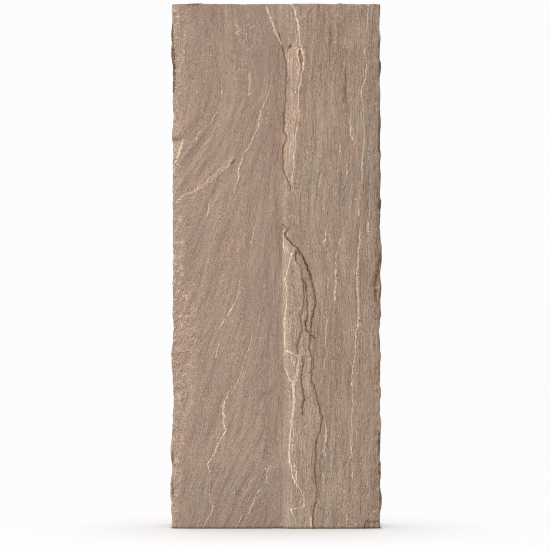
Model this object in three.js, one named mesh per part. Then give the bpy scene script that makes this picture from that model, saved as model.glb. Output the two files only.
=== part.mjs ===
/**
 * Sandstone edging post: one slab of bedded sandstone, split along its beds and dressed to a
 * plain rectangle, standing on its end. It is one stone, so it is one solid.
 *
 * Millimetres, +Z up. The origin is the middle of the foot. The split front looks along -Y,
 * the width runs along X and the thickness along Y.
 */
import * as THREE from "three";
import { ImprovedNoise } from "three/addons/math/ImprovedNoise.js";
import { mergeVertices } from "three/addons/utils/BufferGeometryUtils.js";

// Driving dimensions of the post.
const HEIGHT = 500;
const WIDTH = 198;
const THICKNESS = 60;

// Facets along each direction of the block.
const FACETS_ACROSS = 24;
const FACETS_THROUGH = 7;
const FACETS_UP = 54;

// The split front. A later bed lies on the right half and ends in a long step near the middle.
const STEP_DEPTH = 2.6;
const STEP_SLOPE = 13;
const STEP_LINE = [
  { z: 0, x: 19 },
  { z: 60, x: 13 },
  { z: 130, x: 14 },
  { z: 170, x: 7 },
  { z: 240, x: 8 },
  { z: 300, x: 5 },
  { z: 380, x: 8 },
  { z: 450, x: 8 },
  { z: 500, x: 16 },
];

// A scrap of one more bed clings to the step, as a long lens with an abrupt right edge.
const LENS_HEIGHT = 2.4;
const LENS_SLOPE = 12;
const LENS_EDGE = [
  { z: 0, x: 35 },
  { z: 50, x: 37 },
  { z: 105, x: 43 },
  { z: 150, x: 35 },
  { z: 190, x: 33 },
  { z: 214, x: 37 },
  { z: 240, x: 33 },
  { z: 268, x: 19 },
  { z: 290, x: 7 },
  { z: 500, x: 7 },
];
const LENS_FOOT = 20;
const LENS_BODY = 120;

// Swells of the beds: how high, how far apart, and how much longer they run up than across.
const SWELL_HEIGHT = 1.3;
const SWELL_SPACING = 46;
const SWELL_STRETCH = 3.2;
const BACK_SWELL_HEIGHT = 2.2;

// The dressed sides and top: hollows left by the chisel.
const HOLLOW_DEPTH = 3;
const HOLLOW_SPACING = 34;
const TOP_HOLLOW_DEPTH = 1.6;

// Chips along the arrises. They bite deeper into the wide faces than into the sides and top.
const CHIP_DEPTH = 5;
const CHIP_SPACING = 23;
const CHIP_THRESHOLD = 0.12;
const CHIP_SIDE_SHARE = 0.3;
const ARRIS_WEAR = 0.8;

const noise = new ImprovedNoise();

// Smooth noise between about -1 and 1; each seed gives another pattern.
function ripple(u, v, seed) {
  return 1.6 * noise.noise(u + 7.31 * seed, v - 3.17 * seed, 1.73 * seed);
}

// The x of a line that climbs the post, eased between its points.
function xAtHeight(line, z) {
  const next = line.findIndex((point) => point.z >= z);
  if (next < 1) {
    return line.at(next).x;
  }
  const low = line[next - 1];
  const high = line[next];
  return THREE.MathUtils.lerp(low.x, high.x, THREE.MathUtils.smoothstep(z, low.z, high.z));
}

// How far the split front stands behind the foremost bed at x and height z.
function frontRecess(x, z) {
  const step = xAtHeight(STEP_LINE, z);
  const edge = xAtHeight(LENS_EDGE, z);
  const bed = THREE.MathUtils.smoothstep(x, step - 2, step + STEP_SLOPE);
  const rise = THREE.MathUtils.smoothstep(x, step - 3, step + LENS_SLOPE);
  const fall = 1 - THREE.MathUtils.smoothstep(x, edge - 3, edge + 3);
  const body = THREE.MathUtils.smoothstep(z, LENS_FOOT, LENS_BODY);
  const swell = ripple(x / SWELL_SPACING, z / SWELL_SPACING / SWELL_STRETCH, 1);
  const proud = STEP_DEPTH * bed + LENS_HEIGHT * rise * fall * body + SWELL_HEIGHT * swell;
  return STEP_DEPTH + LENS_HEIGHT - proud;
}

// How far the split back stands inside the block at x and height z.
function backRecess(x, z) {
  const swell = ripple(x / SWELL_SPACING, z / SWELL_SPACING / SWELL_STRETCH, 2);
  return BACK_SWELL_HEIGHT * (1 - swell);
}

// How far a dressed side stands inside the block at depth y and height z.
function sideRecess(y, z, seed) {
  const hollow = ripple(y / HOLLOW_SPACING, z / HOLLOW_SPACING, seed);
  const round = (y / (THICKNESS / 2)) ** 2;
  return HOLLOW_DEPTH * (0.5 - 0.5 * hollow) * (1 - 0.75 * round);
}

// How far the cropped top stands below the full height at x and y.
function topRecess(x, y) {
  return TOP_HOLLOW_DEPTH * (0.5 - 0.5 * ripple(x / HOLLOW_SPACING, y / HOLLOW_SPACING, 5));
}

// The depth of the chips at distance s along one arris.
function chip(s, seed) {
  const bite = ripple(s / CHIP_SPACING, 0.5, seed) - CHIP_THRESHOLD;
  return ARRIS_WEAR + CHIP_DEPTH * Math.max(0, bite);
}

// Moves one point of the plain block's surface to its place on the stone.
function weather(point) {
  const { x, y, z } = point;
  const across = x / (WIDTH / 2);
  const through = y / (THICKNESS / 2);
  const up = z / HEIGHT;
  const front = frontRecess(x, z);
  const back = backRecess(x, z);
  const left = sideRecess(y, z, 3);
  const right = sideRecess(y, z, 4);
  point.x += THREE.MathUtils.lerp(left, -right, (1 + across) / 2);
  point.y += THREE.MathUtils.lerp(front, -back, (1 + through) / 2);
  point.z -= topRecess(x, y) * up;

  const onSide = Math.abs(across) === 1;
  const onFace = Math.abs(through) === 1;
  const onTop = up === 1;
  if (onSide && onFace) {
    const bite = chip(z, 6 + across + 2 * through);
    point.x -= across * CHIP_SIDE_SHARE * bite;
    point.y -= through * bite;
  }
  if (onTop && onFace) {
    const bite = chip(x, 10 + through);
    point.y -= through * bite;
    point.z -= CHIP_SIDE_SHARE * bite;
  }
  if (onTop && onSide) {
    const bite = chip(y, 12 + across);
    point.x -= across * CHIP_SIDE_SHARE * bite;
    point.z -= CHIP_SIDE_SHARE * bite;
  }
}

// Fits the geometry to exactly the stated width, thickness and height, with its foot at z = 0.
function fitToSize(geometry) {
  geometry.computeBoundingBox();
  const size = geometry.boundingBox.getSize(new THREE.Vector3());
  const middle = geometry.boundingBox.getCenter(new THREE.Vector3());
  geometry.translate(-middle.x, -middle.y, -geometry.boundingBox.min.z);
  geometry.scale(WIDTH / size.x, THICKNESS / size.y, HEIGHT / size.z);
}

function stoneGeometry() {
  const block = new THREE.BoxGeometry(
    WIDTH,
    THICKNESS,
    HEIGHT,
    FACETS_ACROSS,
    FACETS_THROUGH,
    FACETS_UP,
  );
  block.translate(0, 0, HEIGHT / 2);
  block.deleteAttribute("normal");
  block.deleteAttribute("uv");
  const stone = mergeVertices(block);
  const corners = stone.getAttribute("position");
  const point = new THREE.Vector3();
  for (let i = 0; i < corners.count; i += 1) {
    point.fromBufferAttribute(corners, i);
    weather(point);
    corners.setXYZ(i, point.x, point.y, point.z);
  }
  fitToSize(stone);
  stone.computeVertexNormals();
  return stone;
}

const sandstone = new THREE.MeshStandardMaterial({
  color: 0xa58e7d,
  roughness: 0.92,
  metalness: 0,
});

const stonePost = new THREE.Mesh(stoneGeometry(), sandstone);
stonePost.name = "stone_post";

const post = new THREE.Group();
post.add(stonePost);

export default post;
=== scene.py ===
"""Looks of a sandstone edging post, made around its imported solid.

The post is one slab of bedded sandstone: a split front and back, dressed sides and top, and a
flat foot. Its surface is a block cut into a fine net, weathered by Geometry Nodes; the finish
is a shader that reads the same lines and the same grain as the weathering does.

Inside the node trees every length is in millimetres.
"""

import logging
import math
from dataclasses import dataclass
from enum import Enum
from typing import Any, Callable

import bmesh
import bpy
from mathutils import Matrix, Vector


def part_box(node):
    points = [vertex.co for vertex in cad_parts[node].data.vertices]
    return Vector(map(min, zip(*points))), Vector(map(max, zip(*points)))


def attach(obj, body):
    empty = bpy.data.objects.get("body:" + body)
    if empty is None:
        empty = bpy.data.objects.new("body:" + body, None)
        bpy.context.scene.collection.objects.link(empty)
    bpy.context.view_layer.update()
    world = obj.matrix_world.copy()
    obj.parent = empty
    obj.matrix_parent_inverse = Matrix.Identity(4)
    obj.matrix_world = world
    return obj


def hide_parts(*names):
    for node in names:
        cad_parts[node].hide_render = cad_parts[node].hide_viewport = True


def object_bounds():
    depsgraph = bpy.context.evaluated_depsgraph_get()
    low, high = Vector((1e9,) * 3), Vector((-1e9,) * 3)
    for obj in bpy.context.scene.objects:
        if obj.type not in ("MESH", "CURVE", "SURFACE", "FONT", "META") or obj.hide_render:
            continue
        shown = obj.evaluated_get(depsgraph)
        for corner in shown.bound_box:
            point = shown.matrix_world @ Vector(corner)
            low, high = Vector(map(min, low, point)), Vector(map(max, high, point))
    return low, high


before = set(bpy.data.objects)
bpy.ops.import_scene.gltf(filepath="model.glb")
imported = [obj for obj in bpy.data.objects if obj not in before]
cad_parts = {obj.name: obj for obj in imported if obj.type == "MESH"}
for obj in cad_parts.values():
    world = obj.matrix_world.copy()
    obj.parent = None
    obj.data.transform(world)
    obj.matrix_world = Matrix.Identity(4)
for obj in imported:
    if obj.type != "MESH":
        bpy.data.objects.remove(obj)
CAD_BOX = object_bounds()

LOG = logging.getLogger("sandstone_post")
MM = 0.001
Points = tuple[tuple[float, float], ...]
Points3 = tuple[tuple[float, float, float], ...]
Span = tuple[float, float]
Wires = dict[str, "Wire"]

# Brings the noise, whose values crowd around 0.5, to a spread of about 1.
NOISE_SPREAD = 7.5
# Lines in one group of nodes: many small groups are built much faster than one large tree.
BATCH = 6


# ---- node arithmetic


class Wire:
    """One output socket of a node, with Python's arithmetic on values."""

    def __init__(self, board: "Board", socket: bpy.types.NodeSocket) -> None:
        """Keeps the board and the socket."""
        self.board = board
        self.socket = socket

    def __add__(self, other: "Wire | float") -> "Wire":
        """Sum."""
        return self.board.maths("ADD", self, other)

    def __sub__(self, other: "Wire | float") -> "Wire":
        """Difference."""
        return self.board.maths("SUBTRACT", self, other)

    def __rsub__(self, other: float) -> "Wire":
        """Difference from a number."""
        return self.board.maths("SUBTRACT", other, self)

    def __mul__(self, other: "Wire | float") -> "Wire":
        """Product."""
        return self.board.maths("MULTIPLY", self, other)

    def __truediv__(self, other: "Wire | float") -> "Wire":
        """Quotient."""
        return self.board.maths("DIVIDE", self, other)

    def __neg__(self) -> "Wire":
        """Negative."""
        return self.board.maths("MULTIPLY", self, -1.0)

    __radd__ = __add__
    __rmul__ = __mul__

    def size(self) -> "Wire":
        """Absolute value."""
        return self.board.maths("ABSOLUTE", self)

    def whole(self) -> "Wire":
        """The whole number below."""
        return self.board.maths("FLOOR", self)

    def root(self) -> "Wire":
        """Square root."""
        return self.board.maths("SQRT", self)

    def least(self, other: "Wire | float") -> "Wire":
        """The smaller of two values."""
        return self.board.maths("MINIMUM", self, other)

    def most(self, other: "Wire | float") -> "Wire":
        """The larger of two values."""
        return self.board.maths("MAXIMUM", self, other)

    def above(self, low: "Wire | float", high: "Wire | float") -> "Wire":
        """Eased step: 0 below low, 1 above high."""
        return self.board.step(self, low, high)

    def held(self) -> "Wire":
        """The value held between 0 and 1."""
        return self.least(1.0).most(0.0)

    def toward(self, other: "Wire", share: "Wire") -> "Wire":
        """This value at share 0, the other one at share 1."""
        return self + share * (other - self)


class Board:
    """A node tree to which nodes are added by call. It serves shaders and Geometry Nodes."""

    def __init__(self, tree: bpy.types.NodeTree) -> None:
        """Keeps the tree."""
        self.tree = tree

    def node(self, kind: str, settings: dict[str, Any], inputs: dict[Any, Any]) -> bpy.types.Node:
        """Adds one node.

        Args:
            kind: The node's type.
            settings: Properties of the node, set before its sockets.
            inputs: Socket names or numbers, each with a number, a tuple or a Wire.

        Returns:
            The new node.
        """
        made = self.tree.nodes.new(kind)
        for name, value in settings.items():
            setattr(made, name, value)
        for key, value in inputs.items():
            if isinstance(value, Wire):
                self.tree.links.new(value.socket, made.inputs[key])
            else:
                made.inputs[key].default_value = value
        return made

    def wire(self, node: bpy.types.Node, output: Any = 0) -> Wire:
        """An output of a node as a Wire."""
        return Wire(self, node.outputs[output])

    def maths(self, operation: str, a: "Wire | float", b: "Wire | float" = 0.0) -> Wire:
        """One Math node.

        Args:
            operation: The node's operation.
            a: First value.
            b: Second value, where the operation has one.

        Returns:
            The result.
        """
        return self.wire(self.node("ShaderNodeMath", {"operation": operation}, {0: a, 1: b}))

    def step(self, value: Wire, low: "Wire | float", high: "Wire | float") -> Wire:
        """Eased step from 0 at low to 1 at high."""
        inputs = {"Value": value, "From Min": low, "From Max": high}
        return self.wire(
            self.node("ShaderNodeMapRange", {"interpolation_type": "SMOOTHSTEP"}, inputs)
        )

    def vector(self, x: "Wire | float", y: "Wire | float", z: "Wire | float") -> Wire:
        """A vector from three values."""
        return self.wire(self.node("ShaderNodeCombineXYZ", {}, {0: x, 1: y, 2: z}))

    def parts(self, vector: Wire) -> tuple[Wire, Wire, Wire]:
        """The three values of a vector."""
        split = self.node("ShaderNodeSeparateXYZ", {}, {0: vector})
        return self.wire(split, 0), self.wire(split, 1), self.wire(split, 2)

    def profile(self, at: Wire, points: Points, straight: bool = False) -> Wire:
        """A curve through given points, level beyond its ends.

        Args:
            at: Where the curve is read.
            points: Pairs of place and value, in order of place.
            straight: Whether it runs straight between points.

        Returns:
            The value there.
        """
        places = [place for place, _ in points]
        values = [value for _, value in points]
        low, span = min(values), max(max(values) - min(values), 1e-6)
        reach = {"Value": at, "From Min": places[0], "From Max": places[-1]}
        along = self.wire(self.node("ShaderNodeMapRange", {"clamp": True}, reach))
        node = self.node("ShaderNodeFloatCurve", {}, {"Value": along})
        curve = node.mapping.curves[0]
        spots = [
            ((place - places[0]) / (places[-1] - places[0]), (value - low) / span)
            for place, value in points
        ]
        curve.points[0].location = spots[0]
        curve.points[1].location = spots[-1]
        for spot in spots[1:-1]:
            curve.points.new(*spot)
        if straight:
            for point in curve.points:
                point.handle_type = "VECTOR"
        node.mapping.update()
        return self.wire(node) * span + low

    def noise(self, place: Wire, detail: float = 2.0, rough: float = 0.5) -> Wire:
        """Noise with a mean of 0 and a spread of about 1.

        Args:
            place: Where it is read; one unit is about one bump.
            detail: Finer layers added to it.
            rough: Strength of those layers.

        Returns:
            The noise.
        """
        inputs = {"Vector": place, "Scale": 1.0, "Detail": detail, "Roughness": rough}
        node = self.node("ShaderNodeTexNoise", {"noise_dimensions": "3D"}, inputs)
        return (self.wire(node, "Fac") - 0.5) * NOISE_SPREAD

    def scaled(self, vector: Wire, size: "Wire | float") -> Wire:
        """A vector or colour times a value."""
        settings = {"operation": "SCALE"}
        return self.wire(self.node("ShaderNodeVectorMath", settings, {0: vector, "Scale": size}))

    def mark(self, name: str) -> Wire:
        """A value that the weathering left on the mesh."""
        return self.wire(self.node("ShaderNodeAttribute", {"attribute_name": name}, {}), "Fac")

    def mixed(self, share: "Wire | float", a: Any, b: Any) -> Wire:
        """Two colours mixed: a at share 0, b at share 1."""
        settings = {"data_type": "RGBA", "clamp_factor": True}
        return self.wire(self.node("ShaderNodeMix", settings, {0: share, 6: a, 7: b}), 2)

    def part(self, name: str, inputs: Wires, make: "Callable[[Board, Wires], Wires]") -> Wires:
        """Builds a part of the tree as a group of its own, which keeps every tree small.

        Args:
            name: The group's name.
            inputs: Values handed to it, by name.
            make: Builds its inside from its board and those values, and returns its results.

        Returns:
            The results, by name.
        """
        group = bpy.data.node_groups.new(name, self.tree.bl_idname)
        inner = Board(group)
        for key in inputs:
            group.interface.new_socket(key, in_out="INPUT", socket_type="NodeSocketFloat")
        source = inner.node("NodeGroupInput", {}, {})
        results = make(inner, {key: inner.wire(source, key) for key in inputs})
        for key in results:
            group.interface.new_socket(key, in_out="OUTPUT", socket_type="NodeSocketFloat")
        inner.node("NodeGroupOutput", {}, results)
        kind = self.tree.bl_idname.replace("NodeTree", "NodeGroup")
        call = self.node(kind, {"node_tree": group}, inputs)
        return {key: self.wire(call, key) for key in results}


@dataclass(frozen=True)
class Bumps:
    """Noise over the stone: its spacings in millimetres, its layers and its height."""

    across: float
    up: float
    through: float = 1.0
    shift: float = 0.0
    detail: float = 2.0
    rough: float = 0.5
    height: float = 1.0

    def at(self, board: Board, x: Wire, y: "Wire | float", z: Wire) -> Wire:
        """The noise at a place.

        Args:
            board: The tree that is built.
            x: Place across.
            y: Place through, or 0 for a noise of one face.
            z: Height.

        Returns:
            The noise, with a mean of 0 and a spread of about its height.
        """
        spot = board.vector(x / self.across, y / self.through + self.shift, z / self.up)
        return board.noise(spot, self.detail, self.rough) * self.height


# ---- the stone's facts


@dataclass(frozen=True)
class Tint:
    """A colour by its display values from 0 to 255."""

    red: float
    green: float
    blue: float

    def linear(self) -> tuple[float, float, float, float]:
        """Turns the colour into scene-linear values.

        Returns:
            Red, green and blue, and an alpha of 1.
        """
        values = [v / 255 for v in (self.red, self.green, self.blue)]
        made = [v / 12.92 if v < 0.04045 else ((v + 0.055) / 1.055) ** 2.4 for v in values]
        return (*made, 1.0)


class Mark(Enum):
    """What a line on a split face is."""

    CRACK = "crack"
    VEIN = "vein"
    RUST = "rust"
    BAND = "band"
    FRESH = "fresh_line"


@dataclass(frozen=True)
class Trace:
    """A line that climbs a split face: height, place across and width, in millimetres.

    The face drops by drop to the right of a line, and steps up by lift under it. Where its width
    is 0 a line isn't there, so one list of points can hold several strokes.
    """

    mark: Mark
    points: tuple[tuple[float, float, float], ...]
    drop: float = 0.0
    lift: float = 0.0
    wander: float = 0.6
    strength: float = 1.0

    def path(self) -> Points:
        """Height against place across."""
        return tuple((z, x) for z, x, _ in self.points)

    def widths(self) -> Points:
        """Height against width."""
        return tuple((z, width) for z, _, width in self.points)

    def seen(self, board: Board, x: Wire, z: Wire) -> tuple[Wire, Wire]:
        """Where a place lies from the line.

        Args:
            board: The tree that is built.
            x: Place across, with the line's wander added.
            z: Height.

        Returns:
            Signed distance across from the line, positive to its right, and half its width.
        """
        off = x - board.profile(z, self.path(), straight=True)
        return off, board.profile(z, self.widths(), straight=True) * 0.5

    def amount(self, off: Wire, half: Wire, soft: float) -> Wire:
        """How much a place lies on the line: its strength on it, 0 off it.

        Args:
            off: Distance across from the line.
            half: Half the line's width.
            soft: Width of its soft edge.

        Returns:
            The amount.
        """
        inside = ((half - off.size()) / soft + 0.5).held()
        return inside * (half * 4 * self.strength).least(self.strength)


def drawn(mark: Mark, *points: tuple[float, float, float], **facts: float) -> Trace:
    """A line from its points, with its other facts by name."""
    return Trace(mark, points, **facts)


FRONT_TRACES: tuple[Trace, ...] = (
    # Outer edge of the lens, from the foot up to its hook.
    drawn(
        Mark.CRACK,
        (0, 35.2, 0.9), (6, 35, 0.9), (14, 35, 0.9), (20, 36.4, 1), (25, 37.6, 1), (32, 38.4, 0.9),
        (38, 39, 0.7), (44, 37.8, 0.9), (50, 37.4, 1), (58, 36.5, 0.8), (65, 37.6, 0.7),
        (72, 38, 0.6), (78, 37.4, 0.7), (84, 38.5, 0.8), (90, 40.6, 0.7), (95, 42, 0.7),
        (101, 43.4, 0.9), (106, 44.4, 1), (110, 42.2, 1.2), (114, 41.5, 0.9), (118, 40.3, 1.1),
        (124, 39, 0.9), (131, 37, 1), (137, 36, 0.8), (141, 33.5, 1), (150, 34, 0.8),
        (156, 34, 0.6), (162, 34.5, 0.8), (168, 33, 0.8), (173, 31, 1.1), (178, 32.3, 1.1),
        (186, 32.6, 1.3), (192, 33, 1.7), (198, 33.7, 1.8), (203, 35, 1.7), (209, 36, 2),
        (213, 37.5, 2), (220, 37, 2), (228, 35.5, 1.9), (235, 34, 2), (241, 33, 2.2),
        (246, 30.8, 2.1), (254, 27.8, 2), (260, 25, 2.2), (264, 22, 2.2), (268.5, 19.6, 1.5),
        (270.5, 16, 1.6), (276, 11, 2), (279, 8.8, 1.6), (281, 7.8, 2.2), (284, 10.4, 1.3),
        (286, 11, 1.2), (288.5, 8, 1.5), (290.5, 5.5, 1.2), (291, 5, 0),
        wander=0.5,
    ),
    # Inner cracks of the lens: the first two are the edges of terraces.
    drawn(
        Mark.CRACK,
        (180.5, 37, 0), (182, 36, 2.2), (184.5, 34.2, 2.2), (187, 31, 1.8), (190, 28.6, 1.2),
        (194, 27.6, 1), (199, 28.6, 1), (203, 30, 1.1), (207, 30, 1), (218, 29.2, 0.9),
        (226, 28.4, 1), (233, 28.2, 1.7), (236, 26.4, 1.2), (238, 25.6, 0),
        drop=0.8,
    ),
    drawn(
        Mark.CRACK,
        (106, 25.4, 0), (109, 25, 1), (114, 24.6, 0.7), (119, 25, 1.2), (123, 26.8, 1.2),
        (128, 26, 0.8), (133, 25, 1), (138, 23.6, 1.2), (145, 24, 1), (150, 24.6, 1),
        (156, 26, 0.8), (162, 25, 0.8), (165, 25.2, 0), (166, 20.6, 0), (168, 20.4, 0.7),
        (173, 19.8, 0.7), (178, 21, 0.9), (183, 22.8, 1), (189, 24.4, 1), (195, 24, 1),
        (202, 23, 1), (206, 24.2, 1), (210, 25.2, 0.5), (215, 26, 0.8), (222, 26.2, 0.5),
        (228, 26, 0.5), (235, 26, 0.8), (240, 24.5, 0.6), (247, 24, 1), (251, 22.6, 1),
        (256, 18.8, 1), (262, 18.2, 1.7), (266, 17.4, 0),
        drop=0.5,
    ),
    drawn(
        Mark.CRACK,
        (147.5, 30.4, 0), (148.5, 31, 1.4), (150.5, 33.4, 1.1), (152.5, 36.4, 1.1),
        (158, 35.6, 0.8), (163, 35.4, 0.6), (170, 36.4, 0.5), (178, 37, 0.4), (182, 37, 0),
    ),
    # Left edge of the pale bed, and two short cracks inside it.
    drawn(
        Mark.CRACK,
        (321, 15, 0), (323, 14.4, 1.1), (328, 12.6, 1), (334, 10, 1), (339, 7.8, 1),
        (343, 6.4, 0.9), (348, 7, 0.9), (353, 6.6, 0.7), (360, 6, 0.7), (366, 7, 0.9),
        (372, 10, 0.9), (376, 9, 1.1), (380, 7, 1.1), (388, 7.6, 1.3), (394, 7, 1.1), (400, 8, 0.8),
        (410, 9.4, 0.7), (416, 8.4, 1), (424, 9.8, 0.8), (430, 9.8, 1.1), (438, 10, 0.7),
        (446, 9, 0.7), (452, 7.6, 1.1), (458, 6, 0.7), (466, 4.4, 0.5), (472, 2.8, 0.9),
        (474, 2.4, 0),
        strength=0.9,
    ),
    drawn(
        Mark.CRACK,
        (441.5, 24.6, 0), (444, 23.6, 1.2), (450, 21.6, 0.9), (455, 22.3, 1.8), (456.5, 22.4, 0),
        (457.5, 10.5, 0), (458.5, 12, 1.8), (460.5, 13.6, 1.8), (461.5, 13.8, 0),
    ),
    # Short dark strokes on the right half.
    drawn(
        Mark.CRACK,
        (250, 55.8, 0), (251.5, 55.8, 0.9), (257, 55.8, 0.9), (258.5, 55.8, 0), (320, 63.8, 0),
        (322, 63.8, 0.9), (326.5, 65.7, 0.9), (328, 66, 0), (405, 65.7, 0), (409, 65.9, 1),
        (416, 65.4, 1.3), (424, 65.9, 0.8), (437, 65.7, 0.7), (441, 65.7, 0),
        strength=0.6,
    ),
    # Pale line down the left side of the lens.
    drawn(
        Mark.VEIN,
        (37, 20.4, 0), (42, 18.4, 1.6), (47, 16.4, 1.4), (54, 14.6, 1.4), (60, 13.8, 1.8),
        (64, 12, 1.6), (70, 12, 1.2), (78, 12.4, 1.1), (84, 12.6, 1.3), (90, 13, 1.3),
        (96, 14, 1.1), (103, 15, 1.5), (110, 16.2, 2), (120, 16.8, 2.6), (130, 16.6, 2.4),
        (138, 15.8, 2.2), (142, 12.6, 1.6), (147, 10.8, 1.6), (152, 8.4, 1.4), (156, 7.2, 0.8),
        (160, 6.8, 0.3), (168, 7.2, 0.3), (173, 7.9, 0.9), (178, 8.4, 1.4), (183, 7.4, 1.5),
        (190, 7.8, 1.1), (197, 6.6, 1.2), (204, 7.8, 1.4), (210, 9, 1.1), (216, 9.6, 0.8),
        (223, 10.6, 0.9), (230, 9.6, 0.8), (238, 7.8, 1.1), (243, 9.6, 1.1), (249, 11.4, 1.3),
        (256, 12.6, 1.5), (262, 14.4, 1.9), (266, 17.6, 1.2), (268, 18.4, 0),
        lift=0.3,
        strength=0.86,
    ),
    # Its other strands, and the pale fold that crosses it.
    drawn(
        Mark.VEIN,
        (135, 16, 0), (138, 17, 3.8), (144, 18.8, 3.8), (151, 20, 3.2), (154, 20.2, 0),
        (155, 17.4, 0), (156, 17, 2), (160, 15.4, 2.2), (164, 14, 1.4), (166, 13.4, 0),
        (185, 6.4, 0), (196, 6, 0.4), (205, 5.8, 0.3), (215, 6, 0.4), (226, 6.4, 0.4),
        (236, 6.4, 0.5), (244, 5.8, 0.3), (252, 6, 0.35), (262, 6.4, 0.7), (270, 6.8, 1.1),
        (276, 6.8, 1.1), (284, 7, 1.1), (288, 6, 0),
        strength=0.75,
    ),
    drawn(
        Mark.VEIN,
        (64, 14.6, 0), (68, 15, 0.6), (80, 15.4, 0.7), (92, 16.4, 0.6), (101, 17.2, 0),
        (152, 20, 0), (154, 20.2, 1.6), (158, 21, 1.6), (163, 21.2, 2.2), (165, 19.4, 2.8),
        (167, 15, 3.2), (169, 10.5, 3.6), (171, 7.6, 1.8), (172, 7, 0),
        strength=0.75,
    ),
    # Brown between its strands, and painted shade, drawn as rust, on the fall between the lens's
    # outer and inner cracks.
    drawn(
        Mark.RUST,
        (66, 13.4, 0), (74, 13.8, 0.9), (90, 14.6, 1), (99, 15.8, 0), (190, 30.4, 0),
        (198, 31.2, 3), (214, 32.6, 5), (230, 31.6, 5.5), (244, 28.6, 5), (256, 23.6, 4),
        (264, 19.4, 2), (268, 18, 0),
        strength=0.42,
    ),
    # Its foot: a tail, a hook to the right, and the strands above that.
    drawn(
        Mark.VEIN,
        (0, 19.4, 0.8), (4, 18.8, 0.8), (9, 17.4, 0.8), (15, 15.2, 0.7), (18.6, 13.4, 2.6),
        (19.6, 19, 6.5), (20.6, 25.6, 3.2), (23, 26.6, 0.9), (26, 26.4, 0.8), (32, 25, 0.8),
        (36, 23.6, 1), (40, 21.4, 1.1), (43, 19.6, 1.2), (43.5, 19.4, 0), (44, 18.6, 0),
        (46, 18.2, 2.3), (54, 18.6, 2.1), (60, 17.4, 2.5), (64, 16.8, 0),
        strength=0.8,
    ),
    # Right edge of the pale bed, then a strand inside it and the line that leads its left edge
    # on to the top.
    drawn(
        Mark.VEIN,
        (316, 15.6, 0), (325, 15, 1), (335, 15, 1), (345, 17, 1.2), (352, 16.6, 1), (358, 17, 1.2),
        (365, 18.5, 1.2), (373, 18, 1), (385, 20.5, 1.2), (393, 22, 1.3), (400, 20.6, 1),
        (410, 21, 1), (420, 21, 1.2), (425, 23, 1.4), (432, 24, 1.2), (438, 25.4, 1.6),
        (444, 26.2, 1.6), (450, 26, 1.6), (456, 24.6, 2.2), (463, 22.6, 1.4), (470, 22, 1.2),
        (477, 21, 1.4), (482, 20, 1.6), (493, 18, 1.4), (498, 15.4, 1.4), (500, 14, 1),
        strength=0.9,
    ),
    drawn(
        Mark.VEIN,
        (440, 23, 0), (443, 22.4, 1.5), (450, 20.4, 1.9), (456, 20.2, 2.1), (458, 22, 1.9),
        (459, 23, 0), (461, 4.6, 0), (463, 4.2, 1.3), (467, 2.4, 1.6), (474, -1, 2.3),
        (479, -2.8, 1.6), (487.5, -5.9, 2), (493, -7.8, 1.7), (498.5, -9.7, 1.8), (500, -10, 1.3),
        strength=0.85,
    ),
    # Pale line near the right arris.
    drawn(
        Mark.VEIN,
        (0, 67.2, 0.6), (14, 67.2, 0.6), (17, 67.4, 0), (45, 72, 0), (48, 72.4, 1.1),
        (56, 72.4, 0.9), (59, 71.8, 0), (64, 69, 0), (67, 69.6, 0.7), (70, 72, 0.9),
        (76, 71.2, 0.8), (88, 70.8, 0.75), (95, 71.2, 0.65), (108, 71.9, 0.85), (116, 72.7, 0.8),
        (128, 72.4, 0.6), (138, 72.2, 0.7), (151, 72.4, 0.9), (160, 74.3, 1.1), (168, 75.8, 1.1),
        (176, 75.6, 1.4), (187, 75.6, 1.3), (192, 77.7, 1.4), (207, 78.3, 1.5), (221, 77.9, 1.7),
        (231, 76.9, 1.9), (243, 77.1, 1.9), (252, 77.7, 1.8), (261, 78.3, 1.7), (274, 79.6, 1.6),
        (288, 80, 1.2), (298, 80, 0), (326, 81.2, 0), (330, 81.3, 0.8), (336, 81.9, 0.8),
        (345, 81.3, 0.65), (361, 82.6, 0.8), (372, 83.8, 0.9), (382, 83.3, 0.65), (403, 82.9, 0.8),
        (415, 80.6, 1), (421, 81.9, 0.8), (430, 85.3, 1), (438, 85.7, 1), (446, 85.3, 0.8),
        (458, 83.3, 0.9), (462, 83, 0), (471, 85.3, 0), (474, 85.4, 0.6), (478, 86.7, 0.6),
        (498, 87.3, 0.6), (500, 87.3, 0.5),
        lift=0.25,
        strength=0.8,
    ),
    # Broken pale strokes between the lens and the right arris.
    drawn(
        Mark.VEIN,
        (0, 33.4, 1.3), (6, 33.3, 1.6), (12, 33, 1.2), (14, 33, 0), (45, 43, 0), (48, 43.2, 0.6),
        (53, 44.5, 0.6), (56, 45, 0), (64, 46.6, 0), (68, 46.2, 2), (76, 45.2, 2.2),
        (84, 46.8, 2.3), (92, 47.4, 2.1), (97, 47.2, 1.6), (101, 47, 0), (150, 45.1, 0),
        (153, 45.2, 0.8), (160, 45.8, 0.9), (172, 47.5, 0.9), (188, 46.6, 1.1), (198, 48.5, 1.1),
        (210, 47.1, 0.8), (227, 48.5, 0.7), (239, 49.5, 0.7), (243, 49.6, 0), (260, 31, 0),
        (263, 32, 0.7), (267, 35.8, 0.7), (270.5, 39.9, 1.1), (272, 44.6, 0.95), (276, 47, 0.85),
        (285, 47.5, 0.8), (290, 47.6, 0), (334, 67.1, 0), (337, 67.1, 1.1), (346, 67.1, 1.1),
        (349, 67, 0), (354, 60, 0), (357, 60, 1), (366, 60.9, 1), (368, 61, 0), (370, 72.6, 0),
        (372, 72.2, 1.4), (376, 70.8, 1.6), (382, 71.2, 1.6), (391, 69.3, 1.4), (394, 69, 0),
        strength=0.85,
    ),
    drawn(
        Mark.VEIN,
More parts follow.
